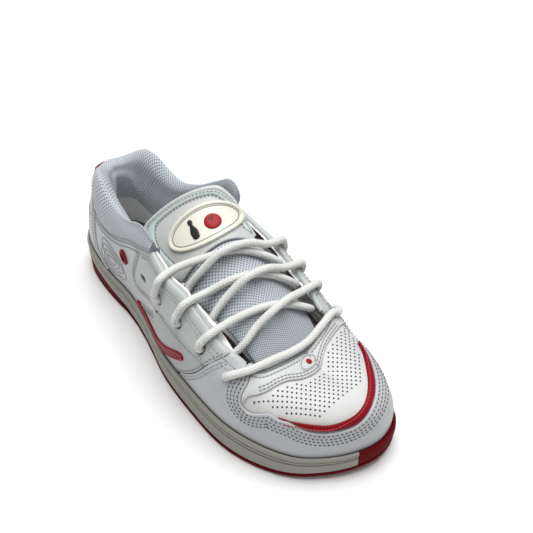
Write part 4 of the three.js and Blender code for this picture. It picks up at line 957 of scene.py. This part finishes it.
def stitching():
    """Stitch rows along the overlays, one piece for each thread colour."""
    white, grey, dark, red = Thread(), Thread(), Thread(), Thread()
    n0 = OVERLAY[1]
    for side, word in SIDES:
        surface = on_side(side)

        def row(thread, points, d, n=n0, lift=0.25, **kw):
            q = shift_line(resample(spline(points, 1.5), 1.0), d)
            q = q[q[:, 1] < edge_z(q[:, 0]) - 1.0]
            q = q[q[:, 1] > side_top(q[:, 0]) + 0.5]
            if len(q) > 3:
                p, m = seam(q, surface, n + lift)
                thread.row(p, m, **kw)

        throat_x = np.arange(-26.0, 76.0, 2.0)
        throat = np.stack([throat_x, edge_z(throat_x)], -1)
        for thread, line, d, lift in (
                (white, throat, 2.6, 0.25), (white, throat, 4.6, 0.25), (white, EYESTAY_REAR, -2.0, 0.25),
                (white, EYESTAY_REAR, -4.0, 0.25), (white, EYESTAY_LOWER, -2.0, 0.25),
                (grey, SIDE_REAR, 2.0, 0.25), (grey, SIDE_REAR, 4.0, 0.25), (white, CAP_REAR, -2.0, 0.35),
                (white, CAP_REAR, -4.0, 0.35), (grey, CAP_REAR, 2.0, 0.2), (grey, PIPING, 3.2, 0.3),
                (grey, PIPING, -3.2, 0.3)):
            row(thread, line, d, lift=lift)
        row(red, SIDE_STRIPE + SIDE_STRIPE[:1], 1.1, TRIM[1], 0.0, pitch=2.3)
        seam_x = np.arange(-104.0, -26.0, 2.0)
        low = np.stack([seam_x, through(seam_x, COLLAR_SEAM)], -1)
        row(grey, low, 2.6)
        # embossed contour lines on the ankle
        w = np.linspace(0, 2 * np.pi, 70)
        for k in range(4):
            wobble = 1 + 0.12 * np.sin(3 * w + 0.7 * k) + 0.06 * np.sin(5 * w + 1.3 * k)
            q = np.stack([-80 + (5 + 4.2 * k) * wobble * np.cos(w),
                          44 + (3.5 + 3.6 * k) * wobble * np.sin(w)], -1)
            p, m = seam(q, surface, n0 + 0.3)
            bead(f"emboss_{word}_{k}", p, m, 0.45, "edge_grey", flat=0.7)
    # rows round the vamp patch, on the cap side
    rim = find_xy(resample(PATCH_LINE, 1.0)[4:-4])
    for d in (2.2, 4.5, 6.8, 9.1):
        q = beside(*rim, d)
        dark.row(off_last(*q, np.full(len(q[0]), n0 + 0.28)), last_normal(*q), pitch=2.7, half=0.85)
    for d in (1.5, 3.2):
        p, m = seam(shift_line(spline(OVERLAY_EDGE[2:-1], 1.0), -d), find_xy, n0 + 0.3)
        grey.row(p, m, pitch=2.4)
    p, m = seam(shift_line(resample(THROAT_LINE, 1.0), 3.0), find_xy, n0 + 0.3)
    grey.row(p, m, pitch=2.4)
    p, m = seam(shift_line(spline(ARC_INNER, 1.0), 1.1), find_xy, n0 + 0.1)
    red.row(p, m, pitch=2.2)
    for z in (BAND_SPLIT_Z + 2.2, BAND_SPLIT_Z - 2.6):
        ss = np.linspace(0.115, -0.115, 160)
        t = t_at_z(ss, z)
        grey.row(off_last(ss, t, np.full(len(ss), n0 + 0.35)), last_normal(ss, t))
    for thread, word in ((white, "white"), (grey, "grey"), (dark, "dark"), (red, "red")):
        thread.make(f"stitches_{word}", f"thread_{word}")


def ankle_rings():
    """Red ring on each side of the ankle, with a sunk near-black disc in it: painted shade for its well."""
    for side, word in SIDES:
        s, t = find_xz(side, np.array([RING], float))
        n = last_normal(s, t)[0]
        centre = off_last(s, t, np.array([2.3]))[0]
        a = unit(np.cross(n, [0.0, 0.0, 1.0]))
        b = np.cross(n, a)
        v = angles(14)
        sections = []
        for ang in angles(48):
            d = math.cos(ang) * a + math.sin(ang) * b
            sections.append([centre + d * (4.3 + 1.35 * math.cos(q)) + n * (1.0 * math.sin(q)) for q in v])
        sweep(f"ring_{word}", sections, "trim_red", True, "shoe", (f"ankle_ring_{word}",), 80)
        # near-black disc inside the ring: painted shade
        disc = [centre - n * 0.55 + 3.1 * (math.cos(q) * a + math.sin(q) * b) for q in angles(24)]
        lower = [p - n * 0.3 for p in disc]
        faces = [tuple(range(24)), tuple(range(47, 23, -1))]
        faces += [(k, 24 + k, 24 + (k + 1) % 24, (k + 1) % 24) for k in range(24)]
        piece(f"ring_well_{word}", disc + lower, faces, "hole")


def heel_tab():
    """Red tab wrapped round the lateral corner of the heel."""
    def corner(s, z):
        s = s * (0.62 + 0.38 * np.clip((z - TAB_Z[0]) / 10, 0, 1))
        return st_flat(s, t_at_z(s, z))

    def lifted(s, t, n):
        z = last_point(s, t)[..., 2]
        return off_last(s, t, n + TAB_LIFT * np.clip((z - TAB_Z[0]) / 10, 0, 1))

    up = np.linspace(*TAB_Z, 24)
    across = np.linspace(*TAB_SIDES, 24)[1:-1]
    loop = np.vstack([corner(np.full(24, TAB_SIDES[0]), up), corner(across, np.full(22, TAB_Z[1])),
                      corner(np.full(24, TAB_SIDES[1]), up[::-1]),
                      corner(across[::-1], np.full(22, TAB_Z[0]))])
    panel("heel_tab", [loop], from_st, TAB_LAYER, "trim_red", ("heel_tab",), cell=2, radius=0.6,
          offset=lifted)


# ---------------------------------------------------------------- sole unit
def rubber_top(x):
    return bottom_z(x) + OUTSOLE


def wedge_top(x):
    return np.maximum(through(x, WEDGE_TOP), bottom_z(x) + OUTSOLE + GAP + 1)


def wall_sections(s, g=0.0):
    """Sections of the sidewall at each s: face (g further out), grooves, lip and the seat inside."""
    def ring(inset, z):
        p = outline(s, np.full(len(s), inset))
        return np.concatenate([p, z(p[:, 0])[:, None]], -1)

    def low(x):
        return np.where(x < WEDGE_FRONT, wedge_top(x), rubber_top(x)) + GAP

    def at(share, down=0.0):
        return lambda x: low(x) + (side_top(x) - low(x)) * share - down

    table = [(6.0, at(0)), (0.9, at(0)), (0.35, at(0.03)), (0.1 - g, at(0.08)), (0.1 - g, at(0.5)),
             (0.25 - g, at(0.535)), (1.05, at(0.56)), (1.05, at(0.60)), (0.3 - g, at(0.625)),
             (0.2 - g, at(0.66)), (0.2 - g, at(0.70)), (0.35, at(0.72)), (1.0, at(0.735)), (1.0, at(0.76)),
             (0.3, at(0.775)), (0.1 - g, at(0.80)), (-g, at(0.9)), (0.15 - g, at(1, 0.7)),
             (0.45, at(1, 0.2)), (0.95, at(1, 0.0)), (1.6, at(1, 0.15)), (2.0, at(1, 0.7)),
             (2.1, at(1, 3.2)), (6.0, at(1, 3.2))]
    return np.stack([ring(i, z) for i, z in table], 1)


def sole_unit():
    """Sidewall, toe bumper, outsole edge and heel wedge."""
    a, b = TOE_BUMPER
    wall = wall_sections(np.linspace(b + SPLIT_S, 1 + a - SPLIT_S, 420) % 1.0)
    # the sidewall rubber is darkened as painted shade on the sole's side
    sweep("sidewall", wall, "rubber_side", False, "shoe", ("sidewall_cup",), 32)
    block = wall_sections(np.linspace(a, b, 60), 0.1)
    face = block[:, 3:18]
    share = np.linspace(0, 1, 15)[None, :, None]
    bulge = np.sin(np.pi * share) * 0.5
    out = unit(face[:, :1] - block[:, :1])
    block[:, 3:18] = face[:, :1] * (1 - share) + face[:, -1:] * share + out * bulge
    sweep("bumper", block, "rubber_red", False, "shoe", ("toe_bumper",), 32)
    s = np.linspace(0, 1, 361)[:-1]

    def loft(name, rings, material, replaces, closed_s=s, open_ends=False):
        rows = []
        for inset, z in rings:
            p = outline(closed_s, np.full(len(closed_s), inset))
            rows.append(np.concatenate([p, np.asarray(z(p[:, 0]))[:, None]], -1))
        sweep(name, np.stack(rows, 1), material, not open_ends, "shoe", replaces, 32)

    loft("outsole_edge", [(9, rubber_top), (0.1, rubber_top), (0.0, lambda x: bottom_z(x) + OUTSOLE * 0.8),
                          (0.0, lambda x: bottom_z(x) + 1.0), (0.4, lambda x: bottom_z(x) + 0.3),
                          (1.0, bottom_z), (9, bottom_z)], "rubber_red", ())
    heel = s[outline(s)[:, 0] < WEDGE_FRONT - 0.5]
    heel = np.concatenate([heel[heel > 0.5], heel[heel < 0.5] + 1])
    loft("wedge", [(9, lambda x: rubber_top(x) + GAP), (0.3, lambda x: rubber_top(x) + GAP),
                   (0.05, lambda x: rubber_top(x) + GAP + 0.5), (0.1, lambda x: wedge_top(x) - 0.3),
                   (0.6, wedge_top), (9, wedge_top)], "rubber_red", ("heel_wedge",), heel % 1.0, True)


# ---------------------------------------------------------------- collar
def padded_collar():
    """Soft collar on the seam, its section worked out from the top, seam and thickness at each x."""
    count = 150
    s = 0.249 - 0.498 * np.arange(count + 1) / count
    sides = np.where(s >= 0, -1, 1)
    ss = np.where(s >= 0, s, 1 + s)

    def below_seam(t):
        p = last_point(ss, t)
        return p[:, 2] < through(p[:, 0], COLLAR_LOW)

    tt = bisect(below_seam, np.full(count + 1, 0.05), np.full(count + 1, 0.8), 34)
    p = last_point(ss, tt)
    o = last_normal(ss, tt)
    o[:, 2] = 0
    o = unit(o)
    x = p[:, 0]
    h = through(x, COLLAR_TOP) - p[:, 2]
    reach = np.where(sides < 0, 29.0, 15.0)
    h = h * np.sqrt(1 - (np.clip(x + 11 + reach, 0, reach - 0.5) / reach) ** 2)
    w = through(x, COLLAR_THICK)
    flare = np.where(sides > 0, np.clip((x + 45) / 30, 0, 1) * 4, 0)
    tail = np.minimum(24, 10 + 14 * np.clip((-20 - x) / 30, 0, 1))
    one = np.ones_like(x)
    lean = 1.6 * np.clip((-95 - x) / 20, 0, 1)
    sec = [(1.2 * one, 0.5 * one), (1.8 + flare * 0.3 - lean * 0.3, 0.28 * h),
           (1 + flare * 0.7 - lean, 0.56 * h),
           (-0.9 + flare - lean * 1.1, 0.82 * h), (-0.32 * w + flare, h), (-0.6 * w + flare, 0.97 * h),
           (-0.9 * w + flare * 0.8, 0.78 * h),
           (-w + flare * 0.5, 0.45 * h), (-w - 2, 0 * h), (-0.9 * w - 1.9, -0.5 * tail),
           (-0.6 * w - 2.6, -0.9 * tail),
           (-4.2 * one, -tail), (-3.9 * one, -0.4 * tail), (-3.5 * one, 0.3 * one)]
    rows = np.stack([p + o * n[:, None] + np.stack([0 * z, 0 * z, z], -1) for n, z in sec], 1)
    dense = []
    m = rows.shape[1]
    for j in range(m):
        a, b, c, d = (rows[:, (j + k) % m] for k in (-1, 0, 1, 2))
        dense += [catmull(a, b, c, d, f) for f in (0, 0.25, 0.5, 0.75)]
    body = sweep("collar_pad", np.stack(dense, 1), "mesh", False, "shoe", ("collar",), 60)
    # rolled seam where the mesh meets the leather
    bead("collar_seam", off_last(ss, tt, one), last_normal(ss, tt), 0.9, "edge_grey")
    line = Thread()
    q = p + o * (1.95 + flare * 0.35)[:, None] + np.stack([0 * x, 0 * x, 3.2 * one], -1)
    line.row(q, o, pitch=2.6)
    line.make("stitches_collar", "thread_grey")


# ---------------------------------------------------------------- tongue
def tongue_row(u):
    table = np.array(TONGUE, float)
    last = len(table) - 1
    f = np.clip(np.asarray(u, float), 0, 1.04) * last
    i = np.minimum(np.floor(f).astype(int), last - 1)
    g = (f - i)[..., None]

    def row(k):
        first = 2 * table[0] - table[1]
        end = 2 * table[last] - table[last - 1]
        got = table[np.clip(k, 0, last)]
        return np.where((k < 0)[..., None], first, np.where((k > last)[..., None], end, got))

    a, b, c, d = (row(i + k) for k in (-1, 0, 1, 2))
    return catmull(a, b, c, d, g)


def tongue_point(u, v):
    u, v = np.broadcast_arrays(np.asarray(u, float), np.asarray(v, float))
    r = tongue_row(u)
    k = np.maximum(0, (u - 0.5) / 0.5) ** 1.3
    return np.stack([r[..., 0] + FLAP_SKEW[0] * v * k, r[..., 2] * v,
                     r[..., 1] - r[..., 3] * v * v + FLAP_SKEW[1] * v * k], -1)


def tongue_normal(u, v):
    e = 0.003
    du = tongue_point(np.asarray(u) + e, v) - tongue_point(np.asarray(u) - e, v)
    dv = tongue_point(u, np.asarray(v) + e) - tongue_point(u, np.asarray(v) - e)
    return unit(np.cross(dv, du))


def off_tongue(u, v, n):
    return tongue_point(u, v) + tongue_normal(u, v) * np.asarray(n, float)[..., None]


UV = np.array([165.0, 28.0])


def from_uv(flat):
    return flat[:, 0] / UV[0], flat[:, 1] / UV[1]


def uv_loop(u0, u1, v1, corner=0.84, base=1.0):
    """Outline of a stretch of the tongue, its top corners rounded."""
    n = 60
    u = np.linspace(u0, u1, n)
    f = (u - u0) / (u1 - u0)
    w = v1 * (base + (1 - base) * np.minimum(1, f / 0.3)
              - (1 - corner) * np.maximum(0, (f - 0.7) / 0.3) ** 2)
    top = np.linspace(-1, 1, 40)[1:-1] * w[-1]
    low = np.linspace(1, -1, 40)[1:-1] * w[0]
    loop = np.concatenate([np.stack([u, -w], -1), np.stack([np.full(38, u1), top], -1),
                           np.stack([u, w], -1)[::-1], np.stack([np.full(38, u0), low], -1)])
    return loop * UV


def tongue():
    """Lower tongue, and the flap with its pad, face, binding and band."""
    low = panel("tongue_body", [uv_loop(0.02, FLAP_U - 0.006, 1.0, 1.0)], from_uv, (-4.5, 0.0), "mesh",
                ("tongue_lower",), cell=2.6, radius=2.2, offset=off_tongue)
    body = "tongue_flap"
    pad = panel("flap_pad", [uv_loop(FLAP_U, 0.985, 0.985, base=0.93)], from_uv, (-6.0, -1.5), "mesh",
                ("tongue_flap_pad",), cell=3, radius=1.2, body=body, offset=off_tongue)
    panel("flap_face", [uv_loop(FLAP_U, 0.99, 1.0, base=0.93)], from_uv, (-1.3, -0.25), "leather_white",
          ("tongue_flap_panel",), cell=2.2, radius=1.0, body=body, offset=off_tongue, puff=0.6,
          puff_reach=5)
    u = np.linspace(0.80, 0.992, 60)
    side_v = 0.985 - 0.16 * np.maximum(0, ((u - FLAP_U) / (0.99 - FLAP_U) - 0.7) / 0.3) ** 2
    top_v = np.linspace(-side_v[-1], side_v[-1], 60)[1:-1]
    line = np.concatenate([np.stack([u, -side_v], -1), np.stack([np.full(58, 0.999), top_v], -1),
                           np.stack([u, side_v], -1)[::-1]])
    line = resample(line * UV, 1.6) / UV
    for _ in range(3):
        line[1:-1] = (line[:-2] + 2 * line[1:-1] + line[2:]) / 4
    path = off_tongue(line[:, 0], line[:, 1], np.full(len(line), -2.6))
    normals = tongue_normal(line[:, 0], line[:, 1])
    sections = tube_sections(path, 2.0, 16, normals, 1.55)
    sweep("flap_binding", sections, "leather_white", False, body, ("tongue_binding",), 80)
    centre = np.array([0.87, 0.0])
    # pale padded band round the flap, inside its binding
    band = np.vstack([centre + (line - centre) * 0.95, (centre + (line - centre) * 0.81)[::-1]])
    panel("flap_band", [band * UV], from_uv, (0.1, 0.7), "leather_mint", cell=1.8, radius=0.8, body=body,
          offset=off_tongue, puff=0.5, puff_reach=2.5)
    for share, lift, half, wide, name, thread_look in (
            (0.915, 1.2, 1.0, 0.36, "stitches_flap", "thread_white"),
            (0.79, 0.5, 0.8, 0.5, "dots_flap", "thread_grey")):
        q = centre + (line - centre) * share
        q = resample(q * UV, 1.0) / UV
        p = off_tongue(q[:, 0], q[:, 1], np.full(len(q), lift))
        thread = Thread()
        thread.row(p, tongue_normal(q[:, 0], q[:, 1]), pitch=2.5, half=half, wide=wide)
        thread.make(name, thread_look, body)


def badge_frame():
    """Centre of the badge on the tongue and its two directions."""
    u, v = BADGE_UV
    n = tongue_normal(u, v)
    across = tongue_point(u, 0.4) - tongue_point(u, -0.4)
    across = unit(across - n * np.dot(across, n))
    up = unit(np.cross(n, across))
    return tongue_point(u, v), across, up


def badge_to_tongue(flat):
    """Tongue parameters of points laid out flat on the badge."""
    o, ax, up = badge_frame()
    u = np.full(len(flat), BADGE_UV[0])
    v = np.full(len(flat), BADGE_UV[1])

    def at(uu, vv):
        d = tongue_point(uu, vv) - o
        return np.stack([d @ ax, d @ up], -1)

    for _ in range(16):
        p = at(u, v)
        pu = (at(u + 1e-3, v) - p) * 1e3
        pv = (at(u, v + 1e-3) - p) * 1e3
        det = pu[:, 0] * pv[:, 1] - pv[:, 0] * pu[:, 1]
        ex, ey = flat[:, 0] - p[:, 0], flat[:, 1] - p[:, 1]
        u = u + (ex * pv[:, 1] - pv[:, 0] * ey) / det
        v = v + (pu[:, 0] * ey - ex * pu[:, 1]) / det
    return u, v


PIN = [[-1.6, -6.5], [1.6, -6.5], [2.5, -3.5], [2.5, -1.2], [1.2, 2], [1, 3], [1.6, 4.6], [1.3, 6],
       [0, 6.7], [-1.3, 6], [-1.6, 4.6], [-1, 3], [-1.2, 2], [-2.5, -1.2], [-2.5, -3.5]]


def badge():
    """Oval rubber badge: plate, rim, line, and a pin and a ball as its marks."""
    a, b = BADGE_HALF
    pin = spline(np.array(PIN) * [1.0, 1.05] + [-7, 0], 0.6, True)
    rim = [ellipse(a - 0.3, b - 0.3, 90), ellipse(a - 2.6, b - 2.6, 70)]
    line = [ellipse(a - 3.2, b - 3.2, 90), ellipse(a - 3.9, b - 3.9, 80)]
    ball = [ellipse(5.4, 5.4, 50, 6, -1)]
    rows = [("badge_oval", [ellipse(a, b, 90)], (0.45, 1.5), "badge", ("badge_plate",), 1.6, 0.8, 1.0),
            ("badge_rim", rim, (1.2, 2.45), "badge", (), 1.2, 0.9, 0.9),
            ("badge_line", line, (1.3, 1.75), "edge_grey", (), 0.7, 0.25, 0.6),
            ("mark_pin", [pin], (1.3, 2.3), "mark_black", ("badge_pin",), 0.8, 0.5, 0.6),
            ("mark_ball", ball, (1.3, 2.6), "mark_red", ("badge_ball",), 0.9, 1.2, 0.6)]
    for k, (x, y) in enumerate([(4.6, 1.4), (6.6, 2.0), (5.9, 0.1)]):
        hole = [ellipse(0.62, 0.62, 14, x, y)]
        rows.append((f"ball_hole_{k}", hole, (2.3, 2.68), "hole", (), 0.4, 0.1, 0.3))
    for name, loops, layer, look, nodes, cell, radius, step in rows:
        panel(name, loops, badge_to_tongue, layer, look, nodes, cell, radius, "tongue_flap", off_tongue,
              step=step)


# ---------------------------------------------------------------- lace
def tongue_at(x):
    """u of the tongue row that stands at x."""
    return bisect(lambda m: tongue_row(m)[0] > x, 0.0, 1.0, 40)


def lace_points():
    """Points that the lace passes, from one end to the other, the same as in the solid part."""
    def on_panel(side, x, z, n):
        s, t = find_xz(side, np.array([[x, z]], float))
        return off_last(s, t, np.array([n]))[0]

    def round_hole(side, x, z, *steps):
        return [on_panel(side, x + dx, z + dz, n) for dx, dz, n in steps]

    def on_tongue(x, v, n):
        return off_tongue(tongue_at(x), v, n)

    def throat(x):
        return float(through(x, THROAT_EDGE))

    def into_eyelet(side, x, z):
        return round_hole(side, x, z, (0.5, (throat(x) - z) * 0.6, 5), (0, 3.4, 4.9), (0, 0.7, 3),
                          (0, 0, 0.6), (0, 0, -3.4), (0, 0, -6))

    def run(side, k):
        to = -side
        x0, z0 = ROWS[side][k]
        x1, z1 = ROWS[to][k + 1]
        xe = x0 - EMERGE
        over = to > 0
        lift = LACE_R + 0.8
        cross = 2 * LACE_R + 0.9 if over else 0
        dip = 7.2 if k == 2 and not over else 0

        def px(share):
            return xe + (x1 - xe) * share

        return [on_panel(side, x0 - 2.2, z0 + 1.4, -8),
                on_panel(side, (x0 + xe) / 2 - 1, (z0 + throat(xe)) / 2 - 1, -8),
                on_panel(side, xe + 0.5, throat(xe) - 5.9, -8.8),
                on_tongue(px(0.05), side * 0.89, lift + 1.1),
                on_tongue(px(0.24), side * 0.52, lift + (2 if over else 0)),
                on_tongue(px(0.42), side * 0.12, lift + cross),
                on_tongue(px(0.6), to * 0.3, lift + cross * 0.9),
                on_tongue(px(0.8), to * 0.72, lift + 3 + cross * 0.3 + dip),
                on_panel(to, x1 + 1.5, throat(x1) - 1, 5.4)] + into_eyelet(to, x1, z1)

    def half(first):
        out, side = [], first
        for k in range(3):
            out += run(side, k)
            side = -side
        x, z = ROWS[side][3]
        return out + round_hole(side, x, z, (-1, -2.5, -8), (-3, -9, -8), (-5, -16, -8))

    def bar_side(side):
        x, z = ROWS[side][0]
        return round_hole(side, x, z, (5.5, 2.5, 5), (2, 1.2, 4.6), (0.4, 0.2, 2.6), (0, 0, 0.4),
                          (0, 0, -3.4), (0, 0, -6))

    s, t = find_xy(BAR_LINE)
    across = list(off_last(s, t, np.full(len(BAR_LINE), 4.8)))
    return np.array(half(-1)[::-1] + bar_side(-1)[::-1] + across + bar_side(1) + half(1))


def centripetal(points, per=14):
    """Centripetal Catmull-Rom line, as the solid lace uses."""
    p = np.asarray(points, float)
    out = []
    for i in range(len(p) - 1):
        b, c = p[i], p[i + 1]
        a = p[i - 1] if i > 0 else 2 * b - c
        d = p[i + 2] if i + 2 < len(p) else 2 * c - b
        d0, d1, d2 = (max(np.linalg.norm(y - x) ** 0.5, 1e-4) for x, y in ((a, b), (b, c), (c, d)))
        t1 = ((b - a) / d0 - (c - a) / (d0 + d1) + (c - b) / d1) * d1
        t2 = ((c - b) / d1 - (d - b) / (d1 + d2) + (d - c) / d2) * d1
        f = (np.arange(per) / per)[:, None]
        out.append((2 * f ** 3 - 3 * f ** 2 + 1) * b + (f ** 3 - 2 * f ** 2 + f) * t1
                   + (-2 * f ** 3 + 3 * f ** 2) * c + (f ** 3 - f ** 2) * t2)
    out.append(p[-1:])
    return np.concatenate(out)


def lace():
    """Round lace with a braided surface."""
    path = resample(centripetal(lace_points()), BRAID_STEP)
    sides = 20
    ring = tube_sections(path, LACE_R, sides)
    w = angles(sides)[None, :]
    run = np.arange(len(path))[:, None] * BRAID_STEP
    weave = np.sin(5 * w + run * 2.1) * np.sin(5 * w - run * 2.1)
    centre = ring.mean(1, keepdims=True)
    ring = centre + (ring - centre) * (1 + 0.1 * weave)[..., None] * 0.97
    sweep("lace_braid", ring, "lace_white", False, "shoe", ("lace",), 180)


def plain_parts():
    """CAD parts whose shape is right as it is: give them their finish."""
    looks = {"outsole": "rubber_red", "insole_board": "board", "sockliner": "sock",
             "quarter_lining": "lining",
             # the quarters are white leather, given the darker copy as painted shade
             "vamp_lining": "lining", "quarter_lateral": "leather_side", "quarter_medial": "leather_side",
             "tongue_flap_lining": "lining", "gusset_lateral": "elastic",
             "gusset_medial": "elastic"}
    for name, look in looks.items():
        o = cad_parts[name]
        for slot in o.material_slots:
            slot.material = M[look]


# ---------------------------------------------------------------- stage
def stage():
    """Floor, world and lights."""
    bpy.context.scene.view_settings.view_transform = "Standard"
    bpy.ops.mesh.primitive_plane_add(size=6, location=(0, 0, -0.0002))
    floor = bpy.context.object
    floor.name = "floor"
    floor.data.materials.append(principled("floor", (0.84, 0.84, 0.84), 0.8)[0])
    world = bpy.data.worlds.new("studio")
    world.use_nodes = True
    world.node_tree.nodes["Background"].inputs["Color"].default_value = (1, 1, 1, 1)
    world.node_tree.nodes["Background"].inputs["Strength"].default_value = 0.3
    bpy.context.scene.world = world
    for name, place, size, power in (("key", (-0.02, 0.12, 1.6), 1.3, 35),
                                     ("fill", (0.9, -1.0, 1.1), 1.2, 1.2)):
        light = bpy.data.lights.new(name, "AREA")
        light.size = size
        light.energy = power
        place_at(name, light, place, (0, 0, 0.04))


side_panels()
throat_edges()
heel_panels()
front_panels()
perforations()
emblem()
stitching()
ankle_rings()
heel_tab()
sole_unit()
padded_collar()
tongue()
badge()
lace()
plain_parts()
stage()
bpy.context.view_layer.update()
